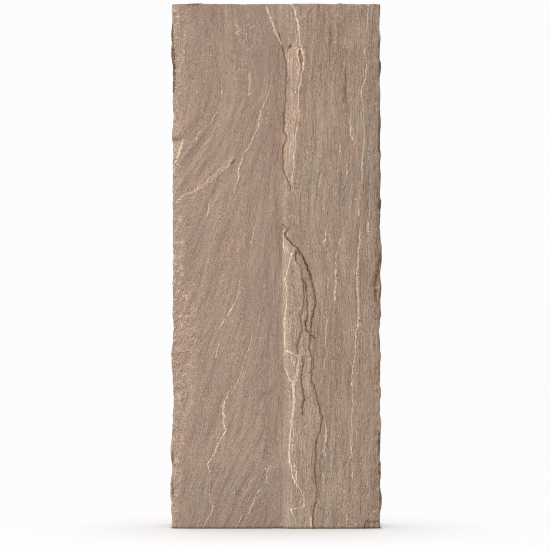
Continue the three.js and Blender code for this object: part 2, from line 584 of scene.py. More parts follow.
        (214, 55.8, 0), (218, 55.8, 1.4), (223, 55.4, 1.6), (233, 57, 1.5), (240, 56.5, 1.6),
        (250, 56.4, 1.9), (256, 56.3, 1.7), (262, 57.6, 1.2), (270, 59.6, 0.9), (278, 61.4, 0.7),
        (279, 61.6, 0), (280, 87.3, 0), (283, 87.3, 1.4), (291, 87.3, 1.4), (294, 87.3, 0),
        (296, 78.6, 0), (299, 78.6, 1.5), (304, 78.6, 1.5), (307, 78.6, 0),
        strength=0.82,
    ),
    # Rust in thin broken streaks.
    drawn(
        Mark.RUST,
        (424, 50.2, 0), (440, 50.6, 0.5), (456, 51.2, 0.5), (462, 51.6, 1.2), (466, 51.6, 1.8),
        (476, 51.4, 1.9), (480, 51.4, 0.6), (494, 51, 0.5), (498, 51, 0),
    ),
    drawn(
        Mark.RUST,
        (372, 72.4, 0), (375, 72, 0.8), (384, 70.6, 0.9), (399, 68.4, 1.1), (410, 66.4, 1.3),
        (419, 66, 1.4), (428, 65.7, 1.1), (440, 66, 0.7), (456, 66.4, 0.6), (462, 66.4, 0),
        strength=0.9,
    ),
    # Orange-tan streaks beside the lens and beside the pale line near the right arris.
    drawn(
        Mark.FRESH,
        (92, 48.4, 0), (98, 48, 1.2), (112, 47.2, 1.4), (122, 47.6, 0), (140, 48.4, 0),
        (146, 48, 1.2), (160, 48.5, 1.6), (179, 49.4, 1.5), (198, 50, 1.2), (206, 50, 0),
        (222, 50.6, 0), (230, 51.4, 0.5), (250, 52, 0.5), (262, 51.6, 0),
        strength=0.24,
    ),
    drawn(
        Mark.FRESH,
        (432, 88, 0), (440, 88.4, 1.4), (456, 87, 1.6), (476, 89.4, 1.2), (486, 90, 0),
        strength=0.3,
    ),
    drawn(
        Mark.FRESH,
        (118, 73, 0), (128, 74, 3), (146, 73.6, 3), (152, 72, 3.2), (164, 73.4, 3.6),
        (176, 74.4, 3.6), (187, 74.4, 3.6), (198, 76.6, 3.8), (221, 76.2, 4.4), (231, 75.4, 4.2),
        (243, 75.6, 4.2), (252, 76.4, 3.8), (261, 77, 3.4), (274, 78.4, 2.8), (286, 79.4, 0),
        strength=0.38,
    ),
    drawn(
        Mark.FRESH,
        (116, 44, 0), (130, 44, 4), (150, 44.4, 6), (200, 44.6, 6.5), (235, 44, 5), (248, 43.6, 0),
        strength=0.25,
    ),
    drawn(
        Mark.FRESH,
        (212, 57.6, 0), (220, 57.6, 3), (238, 58.6, 3.6), (252, 58.4, 3.2), (264, 58.4, 0),
        strength=0.3,
    ),
    # Rust line that climbs away from the lens.
    drawn(
        Mark.RUST,
        (147, 42.6, 0), (155, 43.8, 0.8), (170, 47.2, 0.8), (189, 51.2, 1), (204, 52.8, 0.8),
        (211, 53.4, 0),
        strength=0.8,
    ),
    # Faint pale curve right of the pale bed.
    drawn(
        Mark.VEIN,
        (311, 32, 0), (314.5, 33.4, 1), (320.5, 36.2, 1.3), (327, 41, 1.3), (341, 43, 1.2),
        (351, 43.8, 1.1), (356, 43.6, 0),
        strength=0.52,
    ),
    # Pale lines of the left half: nearer its middle, nearer its border, and short ones.
    drawn(
        Mark.VEIN,
        (1, -38.8, 0.9), (8.5, -34.6, 1.1), (13, -32.7, 0.9), (14.5, -26, 1.4), (20.5, -25, 0.9),
        (25.5, -21.2, 1.2), (31, -20.4, 1.1), (37, -16.4, 1.2), (41, -14.6, 0), (50, -11.2, 0),
        (53, -10, 1.5), (59, -6.4, 1.5), (62, -5, 0), (126, -43.6, 0), (130, -41.9, 0.7),
        (138, -37.8, 0.8), (148.5, -33.8, 0.8), (160, -30.5, 0.7), (171.5, -26.4, 0.7),
        (185, -23.1, 0.7), (190, -22, 0), (270, -25, 0), (274, -23.6, 1.1), (286, -20.8, 1.1),
        (291, -20, 0), (304, -47, 0), (309, -45.8, 0.8), (319.5, -41.2, 0.9), (329, -37.8, 1.1),
        (335, -35.8, 1.2), (342, -36.3, 1.1), (349, -33.8, 1.2), (357.5, -31.7, 1),
        (362.5, -27.1, 1.3), (368.5, -24.4, 1.3), (375.5, -21.2, 1.1), (383.5, -17.3, 1.3),
        (388, -17, 1.3), (398, -15.1, 1.1), (401, -13.6, 1), (411, -8.8, 1.1), (421.5, -5.9, 0.8),
        (430, -4, 0),
        strength=0.8,
    ),
    drawn(
        Mark.VEIN,
        (1, -70.2, 1), (7.5, -66.6, 1.2), (14, -62.6, 1.1), (20.5, -60.6, 1), (26.5, -63.2, 0.8),
        (36, -64.2, 0.7), (46.5, -63.2, 0.6), (56, -64.2, 0.7), (61, -66.1, 1.7), (66.5, -62, 1.8),
        (71.5, -58.6, 1.6), (79, -56.5, 1.7), (84.5, -53.3, 1.7), (89.5, -50.8, 1.5),
        (94, -47.5, 1.7), (100, -51.1, 2), (106.5, -49.8, 1.6), (111.5, -51.3, 1.7),
        (120.5, -49.6, 1.5), (125, -47.3, 1.2), (132, -46, 0.8), (135, -45, 0), (159, -58.4, 0),
        (163, -57.8, 0.9), (170, -56.5, 1), (177, -54.3, 0.9), (181, -53, 0), (189, -55.4, 0),
        (194, -52.5, 0.9), (201, -47.9, 1.1), (210, -42.6, 1.2), (216.5, -38.4, 1.1),
        (227, -35.8, 0.9), (235, -35.6, 0.7), (245, -33.6, 0), (295, -66.6, 0), (300, -65.8, 0.9),
        (313, -63.6, 0.9), (318, -62.6, 0), (367, -78, 0), (371, -76.6, 0.9), (378, -73.7, 1.1),
        (381.5, -68, 1.2), (385.5, -63.2, 1.1), (391, -60.6, 0.9), (400, -55.2, 0.8),
        (410, -51.6, 0.7), (430, -52.7, 0.6), (437, -53, 0),
        strength=0.8,
    ),
    drawn(
        Mark.VEIN,
        (40, -9, 0), (44, -8, 0.8), (58, -10.5, 0.8), (62, -11, 0), (410, -27, 0),
        (414, -26.6, 1.8), (422, -25.4, 2.2), (433, -26, 1.9), (438, -26, 0),
        strength=0.72,
    ),
    # Painted shade: dark slivers where the dressed sides show past the borders, on the left and
    # the right.
    drawn(
        Mark.CRACK,
        (28, -98.6, 0), (31, -98.8, 1.2), (42, -99, 1), (45, -99.2, 0), (60, -99.2, 0),
        (63, -99.2, 1.3), (72, -99, 1), (75, -99, 0), (126, -99.4, 0), (129, -99.2, 1.2),
        (136, -99, 1.2), (139, -99, 0), (414, -97.6, 0), (418, -97.8, 1.6), (431, -97.6, 2.2),
        (438, -97.8, 2.6), (447, -98.2, 2.8), (455, -98.4, 2.4), (462, -98.9, 1.6),
        (471, -99.3, 1.2), (480, -99.4, 0.8), (484, -99.4, 0),
        wander=0.3,
    ),
    drawn(
        Mark.CRACK,
        (24, 99.4, 0), (27, 99.2, 1.4), (34, 99, 1.2), (38, 98.8, 0), (50, 98.4, 0),
        (53, 98.4, 1.3), (60, 98.2, 1.2), (64, 98.2, 0), (69, 97.6, 0), (73, 98, 2),
        (82, 98.2, 2.4), (90, 98.4, 1.8), (94, 98.6, 0), (252, 99, 0), (255, 99, 1.6),
        (261, 98.6, 1.4), (264, 98.6, 0), (303, 98.4, 0), (306, 98.4, 1.8), (314, 98.6, 1.6),
        (317, 98.6, 0), (355, 97.8, 0), (359, 98, 1.6), (370, 98.2, 1.2), (382, 98.6, 1.8),
        (392, 98.8, 1.4), (397, 99, 0), (431, 98.8, 0), (434, 99, 1.6), (444, 99, 1.8),
        (448, 99, 0),
        wander=0.3,
        strength=0.75,
    ),
    # Chip in the right border: painted shade on its dark edge and beside it, then its fresh face.
    drawn(
        Mark.CRACK,
        (212, 97.8, 0), (214.5, 97, 1), (222, 94.8, 1.2), (232, 94.2, 1.4), (239, 95.2, 1.3),
        (245, 96.4, 1.1), (253, 98.2, 1), (256, 98.8, 0),
        wander=0.3,
        strength=0.55,
    ),
    drawn(
        Mark.CRACK,
        (234, 95.4, 0), (237, 96.4, 1.8), (242, 97, 2.2), (247, 97.8, 1.8), (250, 98, 0),
        strength=0.2,
    ),
    drawn(
        Mark.FRESH,
        (215, 99.2, 0), (219, 98.6, 3.4), (226, 97.8, 6), (234, 97.6, 5.6), (242, 98.6, 4),
        (249, 99.2, 2), (252, 99.6, 0),
        strength=0.8,
    ),
    # Chip out of the right corner of the foot: its dark edge and its pale rims.
    drawn(
        Mark.CRACK,
        (0, 84.2, 1.6), (4.5, 85.2, 1.4), (7.4, 86.2, 1.4), (8.4, 87.6, 1), (9, 88.4, 0),
        wander=0.3,
    ),
    drawn(
        Mark.VEIN,
        (3.6, 99.4, 0), (4.2, 98.6, 3), (5.6, 95, 3.2), (7.2, 90.6, 3), (8.2, 88.4, 1.6),
        (8.8, 91, 1), (13, 91.4, 1), (16, 93.6, 2.2), (18.8, 97.6, 2.4), (19.4, 98.4, 0),
        wander=0.3,
        strength=0.45,
    ),
    # Chip in the left border: its pale wall, a painted highlight, running down into the arris.
    drawn(
        Mark.VEIN,
        (336, -98.4, 0), (340, -97.6, 0.9), (347, -97, 1.2), (351, -95.6, 2.2), (357, -93.6, 2.4),
        (363, -91.6, 2.2), (368, -90, 1.6), (370.4, -89.2, 0),
        wander=0.3,
        strength=0.8,
    ),
    # Tan streak across the left half, with a dark pit at its upper end.
    drawn(
        Mark.BAND,
        (309, -97, 0), (312.4, -94, 2), (317.7, -90, 6), (319, -84.2, 6), (321.5, -79.4, 5.5),
        (324.3, -74, 6), (330.5, -65.3, 7), (336, -59.4, 6.5), (339, -55.6, 7), (344, -49.4, 8),
        (350, -45.4, 7), (354, -42, 4), (356, -40, 0),
    ),
    drawn(
        Mark.CRACK,
        (347, -42.6, 0), (348.5, -42, 2.4), (350.5, -40.6, 2.4), (352, -40, 0),
        strength=0.7,
    ),
    # Painted shade: a dark lip along the top edge.
    drawn(
        Mark.CRACK,
        (498.7, -78.6, 0), (499.2, -78.6, 12), (500, -78.6, 13),
        strength=0.6,
    ),
)


BACK_TRACES: tuple[Trace, ...] = (
    # Edges of beds that break off across the back, then its pale lines.
    drawn(
        Mark.CRACK,
        (0, -24, 0.8), (36, -19, 1.1), (62, -23, 0.7), (98, -14, 1), (130, -12, 0.8),
        (166, -3, 1.2), (205, 4, 0.8), (228, 1, 1.1), (262, 9, 0.7), (300, 16, 1), (338, 14, 0.7),
        (372, 24, 1.1), (410, 27, 0.7), (452, 38, 1), (500, 44, 0.8),
        drop=1.5,
        wander=1.2,
        strength=0.7,
    ),
    drawn(
        Mark.CRACK,
        (168, -52, 0), (180, -50, 0.9), (214, -57, 1.1), (246, -51, 0.7), (283, -58, 1),
        (320, -66, 0.8), (352, -74, 0.7), (372, -82, 0),
        drop=0.8,
        wander=1.0,
        strength=0.6,
    ),
    drawn(
        Mark.VEIN,
        (0, 58, 0.9), (44, 61, 1.2), (86, 57, 0.8), (120, 62, 1), (158, 66, 1.4), (196, 63, 0.8),
        (232, 69, 1.1), (270, 72, 0), (330, 70, 0), (352, 68, 1), (388, 72, 1.3), (430, 70, 0.8),
        (470, 76, 1.1), (500, 75, 0.8),
        lift=0.25,
        strength=0.5,
    ),
    drawn(
        Mark.VEIN,
        (60, -60, 0), (84, -52, 1), (110, -44, 1.2), (142, -38, 0.8), (170, -30, 0), (262, -26, 0),
        (292, -18, 1), (330, -12, 1.3), (366, -4, 0.9), (394, 0, 0), (410, -62, 0), (436, -56, 1),
        (468, -54, 1.1), (500, -47, 0.8),
        strength=0.5,
    ),
)


def batches(traces: tuple[Trace, ...]) -> list[tuple[Trace, ...]]:
    """Lines in small batches, one for each part of a tree."""
    return [traces[first : first + BATCH] for first in range(0, len(traces), BATCH)]


def keep_most(amounts: Wires, found: Wires) -> None:
    """Raises each of the amounts to the one found under the same name."""
    for name, value in found.items():
        amounts[name] = value.most(amounts[name]) if name in amounts else value

# ---- grain and relief


@dataclass(frozen=True)
class Grain:
    """How the grain runs over the split faces, as leans: sideways run per unit of height.

    The near lean holds left of the middle, the far lean further left, and the right lean holds
    over a strip to the right of it. Each comes in, and the last one goes out, over a span.
    """

    near_lean: Points = (
        (0, 0.5), (7, 0.5), (36, 0.58), (74, 0.5), (103, 0.3), (141, 0.2), (179, 0.2), (217, 0.22),
        (256, 0.17), (284, 0.18), (322, 0.2), (346, 0.27), (370, 0.35), (389, 0.25), (408, 0.15),
        (427, 0), (447, -0.08), (485, -0.12), (500, -0.12),
    )
    far_lean: Points = (
        (0, 0.2), (45, 0.15), (84, 0.2), (122, 0.22), (160, 0.3), (189, 0.45), (217, 0.35),
        (256, 0.3), (284, 0.35), (322, 0.5), (346, 0.68), (370, 0.7), (389, 0.45), (408, 0.15),
        (427, 0), (447, -0.03), (500, 0),
    )
    right_lean: Points = (
        (0, 0), (80, 0.02), (110, 0.05), (140, -0.04), (200, 0.02), (230, -0.12), (262, -0.28),
        (285, -0.2), (305, 0.1), (340, 0.12), (380, 0.03), (500, 0),
    )
    middle: float = 8.0
    near_from: Span = (0.0, 35.0)
    far_from: Span = (30.0, 88.0)
    right_from: Span = (0.0, 12.0)
    right_to: Span = (42.0, 66.0)
    cell: float = 90.0

    def drift(self, lean: Points) -> Points:
        """Adds up the sideways run from the foot.

        Args:
            lean: A lean by height.

        Returns:
            The run by height.
        """
        total, last = 0.0, lean[0]
        made = [(last[0], 0.0)]
        for place in lean[1:]:
            total += (place[0] - last[0]) * (place[1] + last[1]) / 2
            made.append((place[0], total))
            last = place
        return tuple(made)


class Flow:
    """The grain's own place across: one for each of two sets of cells, faded into each other.

    Within a cell the place across drifts with height as the grain leans, so a pattern drawn out
    upwards in it follows the grain. The sets are half a cell apart, and each fades where it
    breaks.
    """

    PHASES = (0.0, 0.5)
    MARKS = ("drift_low", "drift_high")
    # Spacing through the stone, and the jumps to another seed's and another set's noise.
    STREAK_DEPTH = 24.0
    STREAK_SEED = 7.3
    STREAK_SET = 31.0
    LEDGE_DEPTH = 40.0
    LEDGE_SEED = 5.1
    LEDGE_SET = 17.0
    LEDGE_DETAIL = 3.0
    LEDGE_ROUGH = 0.42
    # Parts of a level over which it drops to the next, and over which its lip comes and goes.
    DROP = (0.80, 1.0)
    LIP_COMES = (0.84, 0.93)
    LIP_GOES = (0.95, 1.0)

    def __init__(self, board: Board, cell: float, places: list[Wire], y: Wire, z: Wire) -> None:
        """Keeps the places and works out each set's share.

        Args:
            board: The tree that is built.
            cell: Height of a cell.
            places: The drifted place across, for each set of cells.
            y: Place through.
            z: Height.
        """
        self.board = board
        self.places = places
        self.y, self.z = y, z
        self.shares: list[Wire] = []
        for phase in self.PHASES:
            cells = z / cell + phase
            self.shares.append(1 - ((cells - cells.whole()) * 2 - 1).size())
        first, second = self.shares
        norm = (first * first + second * second).root()
        self.weights = [share / norm for share in self.shares]

    @classmethod
    def leaning(cls, board: Board, grain: Grain, x: Wire, z: Wire) -> Wires:
        """The drifted places worked out from the grain's leans, for the weathering.

        Args:
            board: The tree that is built.
            grain: The grain's leans.
            x: Place across.
            z: Height.

        Returns:
            How far each set's place drifts from x, by the set's mark.
        """
        left = grain.middle - x
        near = left.above(*grain.near_from)
        far = left.above(*grain.far_from)
        right = x.above(*grain.right_from) * (1 - x.above(*grain.right_to))
        leans = ((near - far, grain.near_lean), (far, grain.far_lean), (right, grain.right_lean))
        here = [board.profile(z, grain.drift(lean)) for _, lean in leans]
        drifts: Wires = {}
        for phase, name in zip(cls.PHASES, cls.MARKS):
            anchor = ((z / grain.cell + phase).whole() + (0.5 - phase)) * grain.cell
            drift: Wire | float = 0.0
            for (share, lean), level in zip(leans, here):
                drift = drift - share * (level - board.profile(anchor, grain.drift(lean)))
            drifts[name] = drift
        return drifts

    @classmethod
    def of(cls, board: Board, grain: Grain, wires: Wires) -> "Flow":
        """The grain from the place and its drifts, inside any part of a tree.

        Args:
            board: The tree that is built.
            grain: The grain's leans.
            wires: The place as x, y and z, and the drift of each set by its mark.

        Returns:
            The flow.
        """
        places = [wires["x"] + wires[name] for name in cls.MARKS]
        return cls(board, grain.cell, places, wires["y"], wires["z"])

    def streaks(self, across: float, along: float, seed: float, detail: float = 1.0) -> Wire:
        """Noise drawn out along the grain.

        Args:
            across: Spacing across the grain.
            along: Spacing along the grain.
            seed: Picks another pattern.
            detail: Finer layers added to it.

        Returns:
            The streaks, with a mean of 0 and a spread of about 1.
        """
        total: Wire | float = 0.0
        for number, (place, weight) in enumerate(zip(self.places, self.weights)):
            shift = seed * self.STREAK_SEED + number * self.STREAK_SET
            through = self.y / self.STREAK_DEPTH + shift
            spot = self.board.vector(place / across, through, self.z / along)
            total = self.board.noise(spot, detail) * weight + total
        return total

    def ledges(
        self, across: float, along: float, seed: float, levels: float
    ) -> tuple[Wire, Wire]:
        """Edges of laminae: level treads that end in small steps along the grain.

        Args:
            across: Spacing of the swells that the laminae outcrop on, across the grain.
            along: Their spacing along the grain.
            seed: Picks another pattern.
            levels: How many laminae a swell cuts.

        Returns:
            The height in steps, without the swell itself: between -1 and 0. Then the lips of
            the steps, as thin lines of 1.
        """
        height: Wire | float = 0.0
        lips: Wire | float = 0.0
        for number, (place, share) in enumerate(zip(self.places, self.shares)):
            shift = seed * self.LEDGE_SEED + number * self.LEDGE_SET
            through = self.y / self.LEDGE_DEPTH + shift
            spot = self.board.vector(place / across, through, self.z / along)
            level = self.board.noise(spot, self.LEDGE_DETAIL, self.LEDGE_ROUGH) * levels
            part = level - level.whole()
            height = (part.above(*self.DROP) - part) * share + height
            lips = part.above(*self.LIP_COMES) * (1 - part.above(*self.LIP_GOES)) * share + lips
        return height, lips


WANDER = Bumps(9, 4, shift=3, height=0.5)
JOGS = Bumps(3, 2.2, shift=13, detail=1, height=0.24)


def wandering(board: Board, x: Wire, z: Wire) -> Wire:
    """Sideways wander shared by the lines' relief and their colour, in millimetres."""
    return WANDER.at(board, x, 0, z) + JOGS.at(board, x, 0, z)


@dataclass(frozen=True)
class Beds:
    """The split front's broad relief: bed step, lens and swells."""

    step_line: Points = (
        (0, 5), (60, 5), (110, 5.5), (140, 6), (172, 6), (240, 5.5), (300, 5), (345, 5.5), (380, 7),
        (420, 9), (452, 8), (470, 3), (488, -2), (500, -3),
    )
    step_run: Points = (
        (0, 8), (60, 10), (140, 10), (172, 6), (260, 7), (290, 10), (330, 10), (350, 11), (400, 13),
        (440, 14), (470, 16), (500, 18),
    )
    step_height: Points = (
        (0, 0.3), (60, 0.5), (140, 0.9), (180, 1.2), (250, 1.5), (300, 1.4), (330, 1.9), (360, 2.6),
        (440, 2.8), (470, 2), (500, 1.5),
    )
    lens_height: Points = (
        (0, 0.2), (60, 0.25), (100, 0.35), (150, 0.5), (190, 1.1), (240, 1.6), (265, 1.7),
        (285, 1.3), (291, 0), (500, 0),
    )
    lens_edge: Span = (-0.7, 0.5)
    valley: float = 1.5
    valley_run: float = 24.0
    deepest: float = 4.6

    def height(self, board: Board, x: Wire, z: Wire, outer: Wire, fall: "Wire | float") -> Wire:
        """How proud the broad relief stands at a place.

        Args:
            board: The tree that is built.
            x: Place across.
            z: Height.
            outer: Distance past the outer edge of the lens.
            fall: How far the lens has fallen at its inner cracks.

        Returns:
            The relief in millimetres.
        """
        run = board.profile(z, self.step_run)
        past = x - board.profile(z, self.step_line)
        rise = past.above(0.0, run)
        bed = rise * board.profile(z, self.step_height)
        dip = past.above(-self.valley_run, 0.0) * (1 - rise) * self.valley
        inside = 1 - outer.above(*self.lens_edge)
        return bed - dip + inside * (rise * board.profile(z, self.lens_height) - fall)


@dataclass(frozen=True)
class Borders:
    """Worn and chipped borders of the split front: height against width, in millimetres."""

    left_flake: Points = (
        (0, 8), (60, 9), (90, 13), (122, 18), (150, 21), (189, 24), (225, 24), (245, 12), (300, 10),
        (345, 10), (352, 6), (360, 9), (371, 11), (374, 8), (400, 9), (440, 11), (460, 16),
        (480, 17), (500, 12),
    )
    right_flake: Points = (
        (0, 12), (12, 14), (24, 6), (100, 7), (205, 6), (232, 10), (250, 5), (330, 6), (440, 8),
        (500, 6),
    )
    left_bite: Points = (
        (0, 0), (24, 0.3), (28, 1.4), (45, 0.8), (60, 1.6), (74, 0.6), (90, 0), (122, 0),
        (127, 1.6), (137, 1.4), (142, 0), (346, 0.4), (350, 3), (361, 5), (369, 7), (371, 7),
        (373.5, 0.4), (427, 0.3), (432, 1.5), (450, 1.2), (466, 1.6), (472, 0.2), (500, 0.6),
    )
    right_bite: Points = (
        (0, 0), (10, 0.5), (72, 0.4), (76, 2), (92, 2.2), (95, 0.4), (190, 0.4), (212, 0.8),
        (215, 3.5), (221, 6.5), (230, 7.5), (238, 6.5), (243, 4.5), (249, 0.6), (256, 1.8),
        (261, 1.6), (264, 0.2), (303, 0.2), (306, 1.6), (316, 2), (319, 0.3), (357, 0.3),
        (361, 1.8), (380, 1.4), (395, 2.2), (415, 1.6), (419, 0.2), (430, 0.4), (433, 1.8),
        (446, 1.6), (449, 0.2), (500, 0.5),
    )
    left_line: Points = (
        (0, 1), (9, 0.6), (14, 1.3), (24, 1.3), (30, 1.8), (47, 1.8), (52, 1), (57, 0.9), (62, 1.3),
        (71, 1.9), (81, 1.1), (86, 0.7), (95, 0.7), (100, 0), (119, -0.1), (133, 0.3), (143, 0.2),
        (152, 0.8), (162, 1.4), (167, 1.2), (172, 0.7), (178, 0.1), (188, -0.5), (195, -0.2),
        (202, 0.3), (212, -0.1), (240, -0.1), (249, 0.4), (258, 0), (265, -0.8), (275, -0.3),
        (325, -0.2), (339, 0.2), (353, -0.2), (363, -0.3), (372, 0.4), (377, 0.7), (384, 0),
        (391, -0.7), (397, -0.6), (406, 0), (411, -0.3), (420, -0.5), (439, -0.2), (444, 0.3),
        (449, 0.9), (458, 1.6), (463, 0.9), (468, 1.4), (482, 0.7), (487, 1.2), (500, 0.8),
    )
    right_line: Points = (
        (0, 0.3), (9, -0.1), (14, 0), (19, 0.6), (26, 1.5), (33, 1.1), (40, 0.2), (47, 0.5),
        (57, 1), (64, 0.7), (73, 0), (90, 0.6), (100, 0.9), (105, 0.6), (110, -0.2), (124, 0),
        (129, 0.4), (138, -0.1), (157, 0), (162, 0.9), (167, 0.8), (172, -0.3), (195, -0.5),
        (205, 0.4), (219, 0.1), (224, 0.8), (234, 0.4), (248, 0.1), (258, 1.1), (272, 0.8),
        (277, -0.1), (281, 0.4), (286, -0.2), (300, -0.4), (305, 0.6), (310, 1.1), (315, 0.9),
        (320, -0.3), (329, 0), (336, 0.2), (348, -0.8), (358, 0.1), (367, -0.4), (380, -0.4),
        (386, -0.1), (401, -0.8), (410, -0.5), (425, -0.5), (434, 0.5), (439, 0.7), (446, -0.2),
        (453, -0.9), (463, -0.7), (468, 0), (482, -0.9), (491, -0.3), (500, 0.2),
    )
    crest: Points = (
        (-99, 0), (-87, 0), (-84, 0.6), (-77, 0.9), (-71, 0.7), (-68, 0), (57, 0), (59, 0.8),
        (62, 0.9), (64, 0), (99, 0),
    )
    flake_depth: float = 1.3
    pillow_reach: float = 26.0
    pillow_depth: float = 1.0
    flake_wobble: Bumps = Bumps(12, 7, shift=6, height=0.18)
    shell_size: Span = (9.0, 7.5)
    corner_reach: float = 13.0
    corner_rise: float = 8.5
    corner_depth: float = 1.6


# ---- the post


@dataclass
class StonePost:
    """The post: sizes of its net, its weathering and its finish."""

    name: str = "weathered_stone"
    node_name: str = "stone_post"
    slot: str = "sandstone"
    # Splits of the block's edges, one after another: of those that run up, of those that run
    # through, and of those that run across, left of the fine strip, in it and right of it.
    rows: tuple[int, int] = (4, 100)
    ranks: int = 44
    fine_strip: Span = (0.0, 48.0)
    columns: tuple[tuple[int, ...], ...] = ((34, 2), (48,), (18, 2))
    front_skin: float = 8.0
    back_keep: float = 0.56
    crease_angle: float = 50.0
    grain: Grain = Grain()
    beds: Beds = Beds()
    borders: Borders = Borders()

    def build(self) -> bpy.types.Object:
        """Makes the post, weathers it and dresses it.

        Returns:
            The finished piece, riding on its body.
        """
        self.low, self.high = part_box(self.node_name)
        piece = self._block()
        self._weather(piece)
        self._thin(piece)
        self._smooth(piece)
        piece.data.materials.clear()
        piece.data.materials.append(SandstoneFinish(self.grain).material())
        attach(piece, "root")
        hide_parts(self.node_name)
        return piece

    def _block(self) -> bpy.types.Object:
        """Cuts a plain block of the post's size into a fine net of squares.

        Returns:
            The block.
        """
        bpy.ops.object.select_all(action="DESELECT")
        middle = (self.low + self.high) / 2
        sides = self.high - self.low
        bpy.ops.mesh.primitive_cube_add(size=1, location=middle, scale=sides)
        piece = bpy.context.object
        piece.name = self.name
        piece.data.name = self.name
        bpy.ops.object.transform_apply(location=True, rotation=True, scale=True)
        bpy.ops.object.mode_set(mode="EDIT")
        bpy.ops.mesh.select_mode(type="EDGE")
        for place in self.fine_strip:
            bpy.ops.mesh.select_all(action="SELECT")
            bpy.ops.mesh.bisect(plane_co=(place * MM, 0, 0), plane_no=(1, 0, 0))
        for count in self.rows:
            self._cut(piece, Vector((0, 0, 1)), -math.inf, math.inf, count)
        self._cut(piece, Vector((0, 1, 0)), -math.inf, math.inf, self.ranks)
        bounds = (-math.inf, *self.fine_strip, math.inf)
        for number, counts in enumerate(self.columns):
            for count in counts:
                self._cut(piece, Vector((1, 0, 0)), bounds[number], bounds[number + 1], count)
        bpy.ops.object.mode_set(mode="OBJECT")
        return piece

    def _cut(
        self, piece: bpy.types.Object, axis: Vector, start: float, end: float, count: int
    ) -> None:
        """Splits each edge that runs along an axis, between two places on x, into count parts.

        Args:
            piece: The block, in edit mode.
            axis: The edges' direction.
            start: Least x of an edge's middle, in millimetres.
            end: Greatest x of it.
            count: Parts made of each edge.
        """
        bpy.ops.mesh.select_all(action="DESELECT")
        net = bmesh.from_edit_mesh(piece.data)
        for edge in net.edges:
            run = edge.verts[1].co - edge.verts[0].co
            middle = (edge.verts[0].co.x + edge.verts[1].co.x) / 2 / MM
            edge.select_set(abs(run.normalized().dot(axis)) > 0.99 and start < middle < end)
        bmesh.update_edit_mesh(piece.data)
        bpy.ops.mesh.subdivide(number_cuts=count - 1)

    def _weather(self, piece: bpy.types.Object) -> None:
        """Moves the net to the stone's surface by Geometry Nodes and applies them.

        Args:
            piece: The block's net.
        """
        tree = Weathering(self.grain, self.beds, self.borders, self.low, self.high).tree()
        modifier = piece.modifiers.new("weathering", "NODES")
        modifier.node_group = tree
        self._apply(piece, modifier)

    def _thin(self, piece: bpy.types.Object) -> None:
        """Takes triangles away from the back, sides and top, which are plainer.

        Args:
            piece: The weathered stone.
        """
        group = piece.vertex_groups.new(name="plain")
        limit = self.low.y + self.front_skin * MM
        group.add([v.index for v in piece.data.vertices if v.co.y > limit], 1.0, "REPLACE")
        modifier = piece.modifiers.new("thinning", "DECIMATE")
        modifier.ratio = self.back_keep
        modifier.vertex_group = group.name
        self._apply(piece, modifier)
        piece.vertex_groups.clear()

    def _apply(self, piece: bpy.types.Object, modifier: bpy.types.Modifier) -> None:
        """Applies a modifier of the piece."""
        bpy.context.view_layer.objects.active = piece
        bpy.ops.object.modifier_apply(modifier=modifier.name)

    def _smooth(self, piece: bpy.types.Object) -> None:
        """Shades the stone smooth, with hard edges where it breaks sharply.

        Args:
            piece: The weathered stone.
        """
        bpy.ops.object.select_all(action="DESELECT")
        piece.select_set(True)
        bpy.context.view_layer.objects.active = piece
        bpy.ops.object.shade_smooth_by_angle(angle=math.radians(self.crease_angle))


